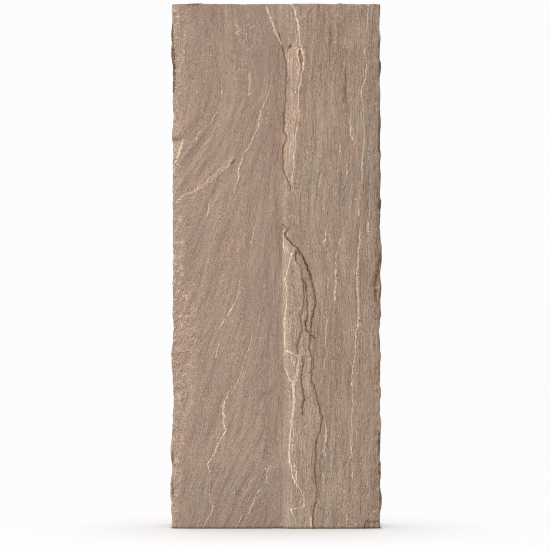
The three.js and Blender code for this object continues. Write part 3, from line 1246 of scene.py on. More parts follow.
class Weathering:
    """Geometry Nodes that turn the plain block into the stone."""

    # The dressed sides and top: lumps, laminae, grit, and hollows by their spacing and depth.
    LUMPS = Bumps(44, 30, through=24, detail=3)
    LAMINAE = Bumps(70, 70, through=4.2, rough=0.6)
    GRIT = Bumps(4.2, 4.2, through=3.4, rough=0.6)
    HOLLOWS = ((17.0, 3.6), (7.5, 1.3))
    # How far in from a side or from the top its hollows fade out.
    DRESSED = (0.0, 14.0)
    # The split front and back.
    SWELL = Bumps(46, 150, shift=5, detail=1, height=0.4)
    KNOBS = Bumps(5, 8, shift=2, height=0.07)
    BACK_SWELL = Bumps(46, 150, shift=9, detail=1, height=0.7)
    BACK_KNOBS = Bumps(7, 9, shift=16, detail=3, rough=0.55, height=0.14)
    BACK_IN = 1.2
    # The arrises: small nicks and wide flakes, the round of the foot, and the crest's ridge.
    NICKS = Bumps(13, 10, through=14, detail=3, rough=0.6)
    FLAKES = Bumps(50, 34, through=40, shift=4, rough=0.6)
    FOOT_ROUND = 1.2
    CREST_COMES = (1.0, 3.0)
    CREST_GOES = (5.0, 9.0)

    def __init__(
        self, grain: Grain, beds: Beds, borders: Borders, low: Vector, high: Vector
    ) -> None:
        """Keeps the stone's facts and the block's half sizes and height in millimetres.

        Args:
            grain: The grain's leans.
            beds: The front's broad relief.
            borders: The front's worn borders.
            low: The block's lowest corner, in metres.
            high: Its highest corner.
        """
        self.grain = grain
        self.beds = beds
        self.borders = borders
        self.half_width = (high.x - low.x) / 2 / MM
        self.half_depth = (high.y - low.y) / 2 / MM
        self.height = high.z / MM

    def tree(self) -> bpy.types.NodeTree:
        """Builds the node group.

        Returns:
            The group, with one geometry in and one out.
        """
        group = bpy.data.node_groups.new("weathering", "GeometryNodeTree")
        group.interface.new_socket("Geometry", in_out="INPUT", socket_type="NodeSocketGeometry")
        group.interface.new_socket("Geometry", in_out="OUTPUT", socket_type="NodeSocketGeometry")
        board = Board(group)
        source = board.node("NodeGroupInput", {}, {})
        place = board.wire(board.node("GeometryNodeInputPosition", {}, {}))
        x, y, z = board.parts(board.scaled(place, 1 / MM))
        shift, marks = self._shift(board, x, y, z)
        stream = board.wire(source)
        for name, value in marks.items():
            stored = board.node(
                "GeometryNodeStoreNamedAttribute",
                {"data_type": "FLOAT", "domain": "POINT"},
                {"Geometry": stream, "Name": name, "Value": value},
            )
            stream = board.wire(stored)
        moved = board.node(
            "GeometryNodeSetPosition", {}, {0: stream, "Offset": board.scaled(shift, MM)}
        )
        board.node("NodeGroupOutput", {}, {0: board.wire(moved)})
        return group

    def _shift(self, board: Board, x: Wire, y: Wire, z: Wire) -> tuple[Wire, Wires]:
        """How far each point moves, and the marks that the finish reads.

        Args:
            board: The tree that is built.
            x: Place across.
            y: Place through.
            z: Height.

        Returns:
            The move in millimetres, and a value for each mark's name.
        """
        to_side = self.half_width - x.size()
        to_face = self.half_depth - y.size()
        to_top = self.height - z
        from_front = y + self.half_depth
        is_front = 1 - from_front.above(0.0, 0.4)
        is_back = 1 - (self.half_depth - y).above(0.0, 0.4)
        forward = 0.5 - y / self.half_depth * 0.5

        place = {"x": x, "y": y, "z": z}
        edges = {"to_side": to_side, "to_face": to_face, "to_top": to_top}
        drifts = board.part("grain", {"x": x, "z": z}, self._leaning)
        relief = board.part("front", {**place, **drifts}, self._front)["relief"]
        back = board.part("back", {**place, **drifts}, self._back)["relief"]
        border = board.part("border", {**place, "to_side": to_side}, self._border)
        cut = board.part("dressing", place, self._dressing)
        chips = board.part("chips", {**place, **edges}, self._chips)

        pillow = (1 - to_side / self.borders.pillow_reach).most(0.0)
        roll = pillow * pillow * self.borders.pillow_depth
        front_in = self.beds.deepest - relief + border["depth"]
        move_y = (front_in + roll) * forward - (self.BACK_IN - back + roll) * (1 - forward)
        move_x = (cut["side_in"] - border["out"]) * (1 - to_side.above(*self.DRESSED))
        move_z = cut["top_in"] * (1 - to_top.above(*self.DRESSED))
        foot = (self.FOOT_ROUND - z).most(0.0) * (1 - to_face.above(0.0, 1.0)) * 0.6
        behind = from_front.above(*self.CREST_COMES) * (1 - from_front.above(*self.CREST_GOES))
        crest = board.profile(x, self.borders.crest) * behind * (1 - to_top.above(0.0, 2.0))
        shift = board.vector(
            -(board.maths("SIGN", x) * (move_x + chips["across"])),
            move_y - board.maths("SIGN", y) * (chips["through"] + foot),
            crest - (move_z + chips["up"]),
        )
        marks = {
            "front": is_front,
            "back": is_back,
            "fresh": chips["fresh"].most(border["flaked"] * is_front),
            "rough": cut["rough"],
            # Painted shadow: a dark line along the foot.
            "foot": 1 - z.above(0.2, 2.0),
            # Painted shade on the front of the crest's ridge.
            "crest": (crest * 4).held() * (1 - from_front.above(3.0, 4.4)),
            **drifts,
        }
        return shift, marks

    def _leaning(self, board: Board, wires: Wires) -> Wires:
        """The drifts that follow the grain's leans."""
        return Flow.leaning(board, self.grain, wires["x"], wires["z"])

    def _dressing(self, board: Board, wires: Wires) -> Wires:
        """How deep the dressed sides and top are hollowed.

        Args:
            board: The tree that is built.
            wires: The place.

        Returns:
            The depths of sides and top in millimetres, and how proud the surface stands.
        """
        x, y, z = wires["x"], wires["y"], wires["z"]
        noises = (self.LUMPS, self.LAMINAE, self.GRIT)
        lumps, laminae, grit = (bumps.at(board, x, y, z) for bumps in noises)
        large, small = (self._bowls(board, x, y, z, size) * deep for size, deep in self.HOLLOWS)
        bowls = large + small
        belly = 1 - (y / self.half_depth) * (y / self.half_depth) * 0.85
        dressed = belly * 1.3 + bowls * (0.45 + belly * 0.55)
        dressed = dressed - (lumps * 0.8 + laminae * 0.15) * (belly + 0.2) - grit * 0.12
        return {
            "side_in": (dressed - 0.5).most(-0.7),
            "top_in": (dressed * 0.6 - 0.9).most(-0.8),
            # The finish reads this as painted shade: darker in the hollows, lighter where it stands
            # proud.
            "rough": lumps * 0.5 - bowls * 0.8 + laminae * 0.1 + grit * 0.14,
        }

    def _bowls(self, board: Board, x: Wire, y: Wire, z: Wire, size: float) -> Wire:
        """Hollows left by chisel blows, meeting in ridges.

        Args:
            board: The tree that is built.
            x: Place across.
            y: Place through.
            z: Height.
            size: Spacing of the hollows.

        Returns:
            The depth in parts of the deepest one.
        """
        bend = board.noise(board.vector(x / size + 4, y / size, z / size), 2) * 0.16
        spot = board.vector(x / size + bend, y / size * 1.25 - bend, z / size * 0.9 + bend)
        cells = board.node("ShaderNodeTexVoronoi", {}, {"Vector": spot, "Scale": 1.0})
        return 0.6 - board.wire(cells, "Distance")

    def _lines(self, board: Board, traces: tuple[Trace, ...], wires: Wires) -> tuple[Wire, Wire]:
        """Relief of the lines on a split face.

        Args:
            board: The tree that is built.
            traces: The lines.
            wires: The place and the lines' wander.

        Returns:
            The falls that lie past them, and their own relief.
        """
        falls: Wire | float = 0.0
        total: Wire | float = 0.0
        for some in batches(traces):
            found = board.part("lines", wires, lambda inner, w: self._steps(inner, some, w))
            falls = found["falls"] + falls
            total = found["total"] + total
        return falls, total

    def _steps(self, board: Board, traces: tuple[Trace, ...], wires: Wires) -> Wires:
        """Relief of a batch of lines.

        Args:
            board: The tree that is built.
            traces: The lines.
            wires: The place and the lines' wander.

        Returns:
            The falls that lie past them, and their own relief.
        """
        falls: Wire | float = 0.0
        total: Wire | float = 0.0
        for trace in traces:
            off, half = trace.seen(board, wires["x"] + wires["wander"] * trace.wander, wires["z"])
            window = (half * 6).least(1.0)
            if trace.drop > 0.0:
                falls = off.above(-0.5, 0.7) * window * trace.drop + falls
            if trace.lift > 0.0:
                step = off.above(-1.0, 0.6) * (1 - off.above(1.0, 11.0))
                total = step * window * trace.lift + total
            if trace.mark is Mark.CRACK:
                total = total - trace.amount(off, half, 1.0) * 0.34
        return {"falls": falls, "total": total}

    def _front(self, board: Board, wires: Wires) -> Wires:
        """How proud the front stands, from its beds down to its finer ripples.

        Args:
            board: The tree that is built.
            wires: The place and its drifts.

        Returns:
            The relief in millimetres.
        """
        x, z = wires["x"], wires["z"]
        flow = Flow.of(board, self.grain, wires)
        wander = wandering(board, x, z)
        outer = FRONT_TRACES[0]
        past_outer, _ = outer.seen(board, x + wander * outer.wander, z)
        spot = {"x": x, "z": z, "wander": wander}
        falls, total = self._lines(board, FRONT_TRACES, spot)
        broad = self.beds.height(board, x + wander * 0.4, z, past_outer, falls)
        swell = self.SWELL.at(board, x, 0, z)
        ripples = flow.streaks(16, 120, seed=1) * 0.24 + flow.streaks(6, 50, seed=2) * 0.13
        fine = flow.streaks(3, 18, seed=3) * 0.08
        ledges, _ = flow.ledges(34, 230, seed=4, levels=1.7)
        lens = (1 - past_outer.above(-1.0, 1.0)) * x.above(6.0, 12.0) * (1 - z.above(268.0, 292.0))
        knobs = self.KNOBS.at(board, x, 0, z) * lens
        return {"relief": broad + total + swell + ripples + fine + ledges * 0.5 + knobs}

    def _back(self, board: Board, wires: Wires) -> Wires:
        """How proud the back stands.

        Args:
            board: The tree that is built.
            wires: The place and its drifts.

        Returns:
            The relief in millimetres.
        """
        x, z = wires["x"], wires["z"]
        flow = Flow.of(board, self.grain, wires)
        swell = self.BACK_SWELL.at(board, x, 0, z)
        ripples = flow.streaks(14, 110, seed=11) * 0.35 + flow.streaks(5, 45, seed=12) * 0.12
        ledges, _ = flow.ledges(44, 130, seed=13, levels=1.6)
        knobs = self.BACK_KNOBS.at(board, x, 0, z)
        spot = {"x": x, "z": z, "wander": wandering(board, x, z) * 2}
        falls, total = self._lines(board, BACK_TRACES, spot)
        return {"relief": swell + ripples + ledges * 1.4 + knobs + total - falls}

    def _border(self, board: Board, wires: Wires) -> Wires:
        """How deep the front's left and right borders are flaked and bitten.

        Args:
            board: The tree that is built.
            wires: The place and the distance to the nearer side.

        Returns:
            How far the outline stands out, the depth, and how flaked the surface is.
        """
        borders = self.borders
        x, z, to_side = wires["x"], wires["z"], wires["to_side"]
        right = x.above(-1.0, 1.0)
        wobble = borders.flake_wobble.at(board, x, 0, z) + 1
        width_right = board.profile(z, borders.right_flake)
        width = board.profile(z, borders.left_flake).toward(width_right, right) * wobble
        share = (1 - to_side / width).held()
        across, up = borders.shell_size
        spot = board.vector(x / across, 0.3, z / up)
        shell = board.node("ShaderNodeTexVoronoi", {}, {"Vector": spot, "Scale": 1.0})
        scoop = (0.55 - board.wire(shell, "Distance") * 1.1).most(0.0)
        flake = share * borders.flake_depth + share.above(0.0, 0.25) * scoop
        bite_right = board.profile(z, borders.right_bite, straight=True)
        bite = board.profile(z, borders.left_bite, straight=True).toward(bite_right, right)
        chip = (bite * wobble - to_side).most(0.0)
        corner = (1 - to_side.above(borders.corner_reach - 2.5, borders.corner_reach)) * right
        corner = corner * (1 - z.above(borders.corner_rise - 4.0, borders.corner_rise))
        line_right = board.profile(z, borders.right_line)
        return {
            "out": board.profile(z, borders.left_line).toward(line_right, right),
            "depth": flake + chip * (0.45 - right * 0.2) + corner * borders.corner_depth,
            "flaked": (share.above(0.0, 0.3) * 0.8 + chip * 0.5).held(),
        }

    def _chips(self, board: Board, wires: Wires) -> Wires:
        """Chips along the arrises, as moves into the stone.

        Args:
            board: The tree that is built.
            wires: The place, and the distances to the nearer side and face and to the top.

        Returns:
            The moves across, through and up, and how fresh the surface is.
        """
        x, y, z = wires["x"], wires["y"], wires["z"]
        to_side, to_face, to_top = wires["to_side"], wires["to_face"], wires["to_top"]
        behind = y.above(-1.0, 1.0)
        nicks = (self.NICKS.at(board, x, y, z) - 0.35).most(0.0) * (behind * 1.6 + 0.8)
        nicks = nicks + behind * 0.5 + 0.2
        flake = (self.FLAKES.at(board, x, y, z) - 0.4).most(0.0) * 1.4 * behind

        edge = (nicks - to_side - to_face).most(0.0) * 0.6
        wide = (flake - to_side * 0.16 - to_face).most(0.0)
        crown = (nicks - to_top - to_face).most(0.0) * 0.6
        crown_wide = (flake - to_top * 0.2 - to_face).most(0.0)
        corner = (nicks - to_top - to_side).most(0.0) * 0.6
        return {
            "across": edge + corner,
            "through": edge + wide + crown + crown_wide,
            "up": crown + corner,
            "fresh": ((edge + crown + corner + wide + crown_wide) * 1.2).held(),
        }


# ---- the finish


@dataclass(frozen=True)
class Shade:
    """A soft-edged patch of the split front that is lighter or darker than the rest."""

    left: float
    right: float
    low: float
    high: float
    tone: float
    fade_across: float = 5.0
    fade_up: float = 20.0

    def change(self, x: Wire, z: Wire) -> Wire:
        """What the patch adds to the tone.

        Args:
            x: Place across.
            z: Height.

        Returns:
            Its tone inside it, 0 outside it.
        """
        across = x.above(self.left - self.fade_across, self.left)
        across = across * x.above(self.right + self.fade_across, self.right)
        up = z.above(self.low - self.fade_up, self.low)
        up = up * z.above(self.high + self.fade_up, self.high)
        return across * up * self.tone


@dataclass(frozen=True)
class SandstoneFinish:
    """Bedded sandstone: pinkish on the left, greyer on the right, pale veins, dark cracks."""

    grain: Grain
    pink: Tint = Tint(182, 152, 136)
    ash: Tint = Tint(174, 153, 135)
    right_pink: Tint = Tint(179, 151, 132)
    right_ash: Tint = Tint(169, 150, 133)
    warm: Tint = Tint(186, 151, 124)
    core: Tint = Tint(238, 216, 195)
    bed: Tint = Tint(197, 170, 149)
    halo: Tint = Tint(198, 164, 137)
    dark: Tint = Tint(86, 52, 26)
    umber: Tint = Tint(134, 98, 69)
    facet: Tint = Tint(212, 188, 165)
    rust: Tint = Tint(142, 98, 62)
    tan: Tint = Tint(192, 162, 138)
    sand: Tint = Tint(213, 184, 160)
    cut: Tint = Tint(172, 148, 130)
    orange: Tint = Tint(204, 162, 132)
    # Soft edges of lines, of the painted shade along cracks and of the tan sides of veins, and how
    # far to the left the painted shade beside them lies.
    line_soft: float = 0.7
    crack_shade_soft: float = 4.0
    vein_halo: float = 2.2
    brown_off: float = 0.8
    ragged: Bumps = Bumps(1.9, 1.9, shift=8, detail=1, height=0.32)
    facets: Bumps = Bumps(1.5, 2.8, shift=12, rough=0.6, height=0.55)
    # The small shells of the borders, and the middle and reach of the patch near the top that
    # has them too.
    shell_bend: Bumps = Bumps(10, 10, shift=80, detail=1, height=2.4)
    shell_gaps: Bumps = Bumps(8, 8, shift=90, detail=1)
    shell_size: Span = (6.6, 7.4)
    feather_at: Span = (-27.0, 473.0)
    feather_size: Span = (14.0, 18.0)
    # Heights over which the painted shade near the foot fades out.
    foot_shade_reach: Span = (2.0, 14.0)
    noises: tuple[tuple[str, Bumps], ...] = (
        ("grit", Bumps(0.78, 1.08, through=0.78, detail=1)),
        ("grains", Bumps(1.0, 1.4, shift=40, detail=0)),
        ("beads", Bumps(2.6, 2.6, through=2.6, shift=60, detail=1)),
        ("stains", Bumps(42, 46, through=30, shift=20)),
        ("laminae", Bumps(60, 60, through=1.4, detail=3, rough=0.65)),
        ("coarse", Bumps(3, 3, through=2.4, detail=3, rough=0.6)),
    )
    # How much a layer lightens the split faces, and what the right half adds to that.
    split_weights: tuple[tuple[str, float, float], ...] = (
        ("grit", 0.133, 0.025),
        ("reeds", 0.006, 0.044),
        ("bright_grains", 0.37, 0.14),
        ("dark_grains", -0.2, -0.16),
        ("dark_dashes", -0.22, -0.04),
    )
    # How much a layer lightens the dressed sides and top.
    cut_weights: tuple[tuple[str, float], ...] = (
        ("laminae", 0.022),
        ("coarse", 0.06),
        ("grit", 0.14),
        # Painted shade from rough: darker in the hollows of the dressing.
        ("rough", 0.05),
        ("stains", 0.03),
        ("bright_spots", 0.34),
        ("dark_spots", -0.3),
    )
    # Where the grain is fainter. Then how light or dark the front is by height, with painted shade
    # towards the foot and the top edge, by place across, and in smaller patches.
    calm: Shade = Shade(-200, -45, 315, 385, -0.5, fade_across=40, fade_up=35)
    foot_and_top_shade: Points = (
        (0, -0.05), (10, -0.12), (38, -0.12), (58, -0.06), (78, 0), (480, 0), (492, -0.05),
        (500, -0.05),
    )
    foot_and_top_shade_across: Points = ((-99, 0.5), (-80, 0.8), (-70, 1), (-24, 1), (-4, 0.4), (8, 0))
    across_shade: Points = (
        (-99, 0), (-60, 0), (-28, -0.01), (-12, -0.03), (2, -0.015), (10, 0), (50, 0), (62, -0.015),
        (80, -0.03), (96, -0.05),
    )
    light_bed: Points = ((16, 0), (24, 0.07), (38, 0.07), (46, 0))
    light_bed_share: Points = ((262, 0), (300, 0.6), (330, 1), (375, 1), (415, 0))
    shades: tuple[Shade, ...] = (
        Shade(43, 57, -40, 95, -0.06),
        Shade(2, 11, -40, 46, -0.06),
        Shade(2, 11, 130, 230, -0.05),
        Shade(2, 11, 250, 312, -0.10),
        Shade(13, 21, -40, 16, 0.13),
        Shade(14, 20, 370, 390, -0.06),
        Shade(92, 99, 75, 190, 0.11),
        Shade(-99, -84, 285, 350, -0.06),
        Shade(-99, -84, 455, 520, -0.05),
        Shade(-79, -67, 52, 64, 0.08),
        Shade(-60, -48, 78, 92, 0.06),
    )
    # How much of the scrap on the lens shows, by height. Then the pale beds: height, place across
    # and width.
    lens_share: Points = (
        (0, 0), (50, 0.15), (100, 0.5), (200, 0.9), (240, 0.95), (262, 0.8), (290, 0),
    )
    pale_bed: Points3 = (
        (318, 15, 0), (328, 13.8, 4), (337, 12.8, 7), (350, 12, 10.5), (365, 12.5, 11.5),
        (380, 13.5, 12), (395, 14.5, 13), (410, 15, 12), (430, 16, 13.5), (440, 16.5, 14),
        (450, 15.5, 14), (456, 16.5, 10), (461, 18, 5), (468, 19, 2), (474, 19, 0),
    )
    lens_bed: Points3 = (
        (60, 13, 0), (75, 13, 4), (110, 16, 3), (140, 14, 6), (160, 13, 12), (170, 11, 8),
        (176, 8, 3), (185, 8, 2), (240, 8.5, 2.6), (262, 9.5, 6), (280, 8.5, 4), (300, 8.5, 4.6),
        (330, 9, 4), (345, 9, 0),
    )

    def material(self) -> bpy.types.Material:
        """Builds the material.

        Returns:
            The material.
        """
        made = bpy.data.materials.new("sandstone")
        made.use_nodes = True
        made.node_tree.nodes.clear()
        board = Board(made.node_tree)
        spot = board.wire(board.node("ShaderNodeTexCoord", {}, {}), "Object")
        x, y, z = board.parts(board.scaled(spot, 1 / MM))
        names = ("front", "back", "fresh", "rough", "crest", "foot")
        marks = {name: board.mark(name) for name in names}
        drifts = {name: board.mark(name) for name in Flow.MARKS}
        place = {"x": x, "y": y, "z": z}
        lines = board.part("front lines", {"x": x, "z": z}, self._front_lines)
        back_lines = board.part("back lines", {"x": x, "z": z}, self._back_lines)
        for name, value in lines.items():
            lines[name] = value * marks["front"]
        for name, value in back_lines.items():
            lines[name] = (value * marks["back"]).most(lines[name])
        layers = board.part("layers", {**place, **drifts}, self._layers)
        borders = {"x": x, "z": z, "fresh": marks["fresh"], "front": marks["front"]}
        shells = board.part("rims", borders, self._rims)
        rims = shells["rims"]
        tone = board.part("tone", {**layers, **marks, "x": x, "z": z}, self._tone)
        colour = self._colour(board, {**layers, **marks, **lines, **tone, "rims": rims})
        split = tone["split"]
        height = (
            (layers["relief"] * (tone["right"] * 0.3 + 0.7) - shells["scoops"]) * split
            + (lines["vein"] + lines["band"] + rims) * split * 0.2
            + (layers["laminae"] * 0.04 + layers["coarse"] * 0.26 + layers["grit"] * 0.06)
            * (1 - split)
            + layers["grit"] * 0.05
            - lines["crack"] * 0.25
        )
        bump = board.node(
            "ShaderNodeBump", {}, {"Strength": 1.0, "Distance": MM, "Height": height}
        )
        shader = board.node(
            "ShaderNodeBsdfPrincipled",
            {},
            {
                "Base Color": colour,
                "Roughness": (layers["grit"] * 0.02 + 0.9).held(),
                "Specular IOR Level": 0.25,
                "Normal": board.wire(bump),
            },
        )
        board.node("ShaderNodeOutputMaterial", {}, {0: board.wire(shader)})
        return made

    def _traced(self, board: Board, traces: tuple[Trace, ...], wires: Wires) -> Wires:
        """How much a place lies on the lines of a face.

        Args:
            board: The tree that is built.
            traces: The lines.
            wires: The place, and the lines' wander and raggedness.

        Returns:
            An amount for each kind of line, for the tan sides of veins and for painted shade beside
            them.
        """
        amounts: Wires = {}
        for some in batches(traces):
            found = board.part("lines", wires, lambda inner, w: self._amounts(inner, some, w))
            keep_most(amounts, found)
        return amounts

    def _amounts(self, board: Board, traces: tuple[Trace, ...], wires: Wires) -> Wires:
        """How much a place lies on a batch of lines.

        Args:
            board: The tree that is built.
            traces: The lines.
            wires: The place, and the lines' wander and raggedness.

        Returns:
            The amounts.
        """
        amounts: Wires = {}
        for trace in traces:
            at = wires["x"] + wires["wander"] * trace.wander + wires["ragged"]
            off, half = trace.seen(board, at, wires["z"])
            spread = half * 1.2 if trace.mark is Mark.VEIN else half
            found = {trace.mark.value: trace.amount(off, spread, self.line_soft)}
            if trace.mark is Mark.CRACK:
                # Painted shade in umber beside the crack.
                found["brown"] = trace.amount(off + self.brown_off, half, self.crack_shade_soft)
            if trace.mark is Mark.VEIN:
                found["sides"] = trace.amount(off, half, self.vein_halo)
                # Painted shade: a thin umber line on the left of the vein.
                beside = off + half + self.brown_off
                found["brown"] = trace.amount(beside, half.least(0.3), self.line_soft)
            keep_most(amounts, found)
        return amounts

    def _front_lines(self, board: Board, wires: Wires) -> Wires:
        """The front's lines, its pale beds and the scrap that clings to it.

        Args:
            board: The tree that is built.
            wires: The place.

        Returns:
            An amount for each.
        """
        x, z = wires["x"], wires["z"]
        wander = wandering(board, x, z)
        ragged = self.ragged.at(board, x, 0, z)
        spot = {"x": x, "z": z, "wander": wander, "ragged": ragged}
        amounts = self._traced(board, FRONT_TRACES, spot)
        beds = []
        for points in (self.pale_bed, self.lens_bed):
            bed = Trace(Mark.BAND, points)
            beds.append(bed.amount(*bed.seen(board, x + wander * 2 + ragged, z), 2.0))
        outer = FRONT_TRACES[0]
        past, _ = outer.seen(board, x + wander * outer.wander, z)
        inside = (1 - past.above(-1.0, 0.5)) * x.above(8.0, 14.0)
        facets = (self.facets.at(board, x, 0, z) + 0.5).held()
        amounts["beds"] = beds[0].most(beds[1])
        amounts["scrap"] = inside * board.profile(z, self.lens_share) * facets
        return amounts

    def _back_lines(self, board: Board, wires: Wires) -> Wires:
        """The back's lines.

        Args:
            board: The tree that is built.
            wires: The place.

        Returns:
            An amount for each kind.
        """
        x, z = wires["x"], wires["z"]
        ragged = self.ragged.at(board, x, 0, z)
        spot = {"x": x, "z": z, "wander": wandering(board, x, z) * 2, "ragged": ragged}
        return self._traced(board, BACK_TRACES, spot)

    def _layers(self, board: Board, wires: Wires) -> Wires:
        """The stone's grain at each scale.

        Args:
            board: The tree that is built.
            wires: The place and its drifts.

        Returns:
            Noises with a mean of 0 and a spread of about 1, painted shade on the treads of the
            laminae, the lips of the laminae, the grain's relief in millimetres, where the grain is
            clear, and how near the foot a place is, for painted shade there.
        """
        x, y, z = wires["x"], wires["y"], wires["z"]
        flow = Flow.of(board, self.grain, wires)
        ledges, lips = flow.ledges(16, 120, seed=25, levels=2.4)
        laths, hairs = flow.ledges(8, 75, seed=26, levels=1.5)
        narrow = flow.streaks(2.2, 20, seed=23)
        fine = flow.streaks(1.0, 6.0, seed=24)
        return {
            "broad": flow.streaks(24, 150, seed=21, detail=2),
            "medium": flow.streaks(6, 55, seed=22, detail=2),
            "narrow": narrow,
            "fine": fine,
            "reeds": flow.streaks(1.1, 42, seed=28),
            "dashes": flow.streaks(0.85, 2.6, seed=29, detail=0),
            "streak": flow.streaks(5, 85, seed=27, detail=2),
            # Painted shade: darker towards the low end of each tread.
            "terraces": ledges * 0.065 + laths * 0.045,
            "lips": lips + hairs,
            "relief": narrow * 0.05 + fine * 0.05 + ledges * 0.18 + laths * 0.12,
            "clear": self.calm.change(x, z) + 1,
            # Painted shade: where the tone darkens near the foot.
            "low": 1 - z.above(*self.foot_shade_reach),
            **{name: bumps.at(board, x, y, z) for name, bumps in self.noises},
        }

    def _rims(self, board: Board, wires: Wires) -> Wires:
        """Small shells that flaked off the borders: hollows between pale curved rims.

        Args:
            board: The tree that is built.
            wires: The place, and the marks of the front and of its fresh borders.

        Returns:
            The rims, and the depth of the hollows in millimetres.
        """
        x, z = wires["x"], wires["z"]
        bend = self.shell_bend.at(board, x, 0, z)
        gaps = self.shell_gaps.at(board, x, 0, z)
        width, height = self.shell_size
        spot = board.vector((x + bend) / width, 0.4, (z - bend) / height)
        shell = board.node(
            "ShaderNodeTexVoronoi", {"feature": "DISTANCE_TO_EDGE"}, {"Vector": spot, "Scale": 1.0}
        )
        across = (x - self.feather_at[0]) / self.feather_size[0]
        up = (z - self.feather_at[1]) / self.feather_size[1]
        feather = 1 - (across * across + up * up).above(0.5, 1.2)
        inward = board.wire(shell, "Distance")
        thin = 1 - inward.above(0.0, 0.08)
        flaked = wires["fresh"] * (1 - x.above(0.0, 10.0) * 0.6)
        seen = flaked.most(feather * 0.7) * wires["front"]
        return {
            "rims": thin * (gaps * 1.2 + 0.6).held() * seen,
            "scoops": inward.above(0.0, 0.25) * seen * 0.28,
        }

    def _tone(self, board: Board, wires: Wires) -> Wires:
        """Light and dark of the ground, and the shares that pick its colours.

        Args:
            board: The tree that is built.
            wires: The layers, the mesh's marks, the place across and the height.

        Returns:
            The tone, with a mean of about 0, and the shares.
        """
        broad, medium, grains = wires["broad"], wires["medium"], wires["grains"]
        grit, stains, back = wires["grit"], wires["stains"], wires["back"]
        split = (wires["front"] + back).held()
        right = (wires["x"] + medium).above(2.0, 12.0)
        along = wires["narrow"] * 0.021 + wires["fine"] * (right * 0.021 + 0.023)
        # The terraces add painted shade, darker towards the low end of each tread of the laminae.
        along = along + wires["terraces"] + wires["lips"] * (medium * 0.08 + 0.05).most(0.0)
        along = along * (right * 0.24 + 0.76) * wires["clear"]
        x, z = wires["x"], wires["z"]
        wide = (
            # Painted shade towards the foot and the top edge.
            board.profile(z, self.foot_and_top_shade) * board.profile(x, self.foot_and_top_shade_across)
            + board.profile(z, self.light_bed_share) * board.profile(x, self.light_bed)
            + board.profile(x, self.across_shade)
        )
        for shade in self.shades:
            wide = shade.change(x, z) + wide
        layers = {
            **wires,
            "bright_grains": (grains - 1.15).most(0.0),
            "dark_grains": (-grains - 1.4).most(0.0),
            "dark_dashes": (-wires["dashes"] - 1.2).most(0.0),
            "bright_spots": (grains - 1.0).most(0.0),
            "dark_spots": (-grains - 1.1).most(0.0),
        }
        tone_split = (
            (broad * 0.026 + medium * 0.034) * (right * 0.34 + 1) * (1 - back * 0.3) + 0.012
            + along * (1 - back * 0.4) + right * 0.018
            + stains * back * 0.035 + wires["coarse"] * back * 0.05
            # Painted shade: darker near the foot on the left half, and in wide towards the foot and
            # top.
            - wires["low"] * (1 - right) * 0.055 + wide * wires["front"]
        )
        for name, weight, more in self.split_weights:
            tone_split = layers[name] * (right * more + weight) + tone_split
        tone_cut: Wire | float = 0.0
        for name, weight in self.cut_weights:
            tone_cut = layers[name] * weight + tone_cut
        return {
            "tone": tone_split * split + tone_cut * (1 - split),
            "split": split,
            "right": right,
            "hue": (broad * 0.2 + medium * 0.14 + 0.47).held(),
            "warmth": (wires["streak"] - 0.7).held() * 0.7 * right
            + (stains - 0.6).held() * 0.4 * back,
            "speckle": grains * 0.2 + grit * 0.16,
        }

    def _colour(self, board: Board, wires: Wires) -> Wire:
        """The stone's colour.

        Args:
            board: The tree that is built.
            wires: Layers, marks, lines, tone and shares.

        Returns:
            The colour.
        """
        speckle, beads, narrow = wires["speckle"], wires["beads"], wires["narrow"]
        left_ground = board.mixed(wires["hue"], self.pink.linear(), self.ash.linear())
        right_ground = board.mixed(wires["hue"], self.right_pink.linear(), self.right_ash.linear())
        ground = board.mixed(wires["right"], left_ground, right_ground)
        vein, grains, grit = wires["vein"], wires["grains"], wires["grit"]
        dots = grains * 0.34 + grit * 0.22 + beads * 0.18
        pale = (vein * 1.4).held() * ((vein + dots * 0.6 - 0.17) * 1.25).held() * 0.84
        pale = pale.most(wires["rims"] * (dots * 0.35 + 0.7).held())
        rusty = wires["rust"] * (grains * 0.4 + grit * 0.3 + 0.5)
        in_beds = wires["beds"] * (0.6 + narrow * 0.22 + wires["medium"] * 0.18 + speckle * 0.7)
        coats: tuple[tuple[Wire, Tint], ...] = (
            (wires["warmth"], self.warm),
            (1 - wires["split"], self.cut),
            (wires["fresh"] * 0.36, self.tan),
            (wires["scrap"] * 0.72, self.facet),
            (in_beds, self.bed),
            (wires["sides"] * wires["sides"] * (0.55 + speckle + beads * 0.1), self.halo),
            (wires["band"] * (0.62 + speckle * 2 + beads * 0.2), self.sand),
            (wires["fresh_line"] * (0.75 + speckle), self.orange),
            # Painted shade in umber beside cracks and veins.
            (wires["brown"] * (0.42 + speckle + beads * 0.12), self.umber),
            (pale, self.core),
        )
        for share, tint in coats:
            ground = board.mixed(share, ground, tint.linear())
        ground = board.scaled(ground, wires["tone"] + 1)
        ground = board.mixed(rusty, ground, self.rust.linear())
        # Dark cracks, and painted shade on the front of the crest's ridge.
        darks = (wires["crack"] * (0.64 + speckle * 1.3)).most(wires["crest"] * 0.55)
        # Painted shadow: a dark line along the foot.
        darks = darks.most(wires["foot"] * 0.58)
        return board.mixed(darks, ground, self.dark.linear())


# ---- the studio


@dataclass(frozen=True)
class Sun:
    """A soft sun: the direction it comes from, its strength and its angular size in degrees."""

    name: str
    source: tuple[float, float, float]
    strength: float
    angle: float

    def build(self, lit: bpy.types.Object) -> None:
        """Adds the sun.

        Args:
            lit: The one object that it lights.
        """
        data = bpy.data.lights.new(self.name, "SUN")
        data.energy = self.strength
        data.angle = math.radians(self.angle)
        lamp = bpy.data.objects.new(self.name, data)
        lamp.rotation_euler = Vector(self.source).to_track_quat("Z", "Y").to_euler()
        bpy.context.scene.collection.objects.link(lamp)
        only = bpy.data.collections.new(self.name + "_lights")
        only.objects.link(lit)
        lamp.light_linking.receiver_collection = only


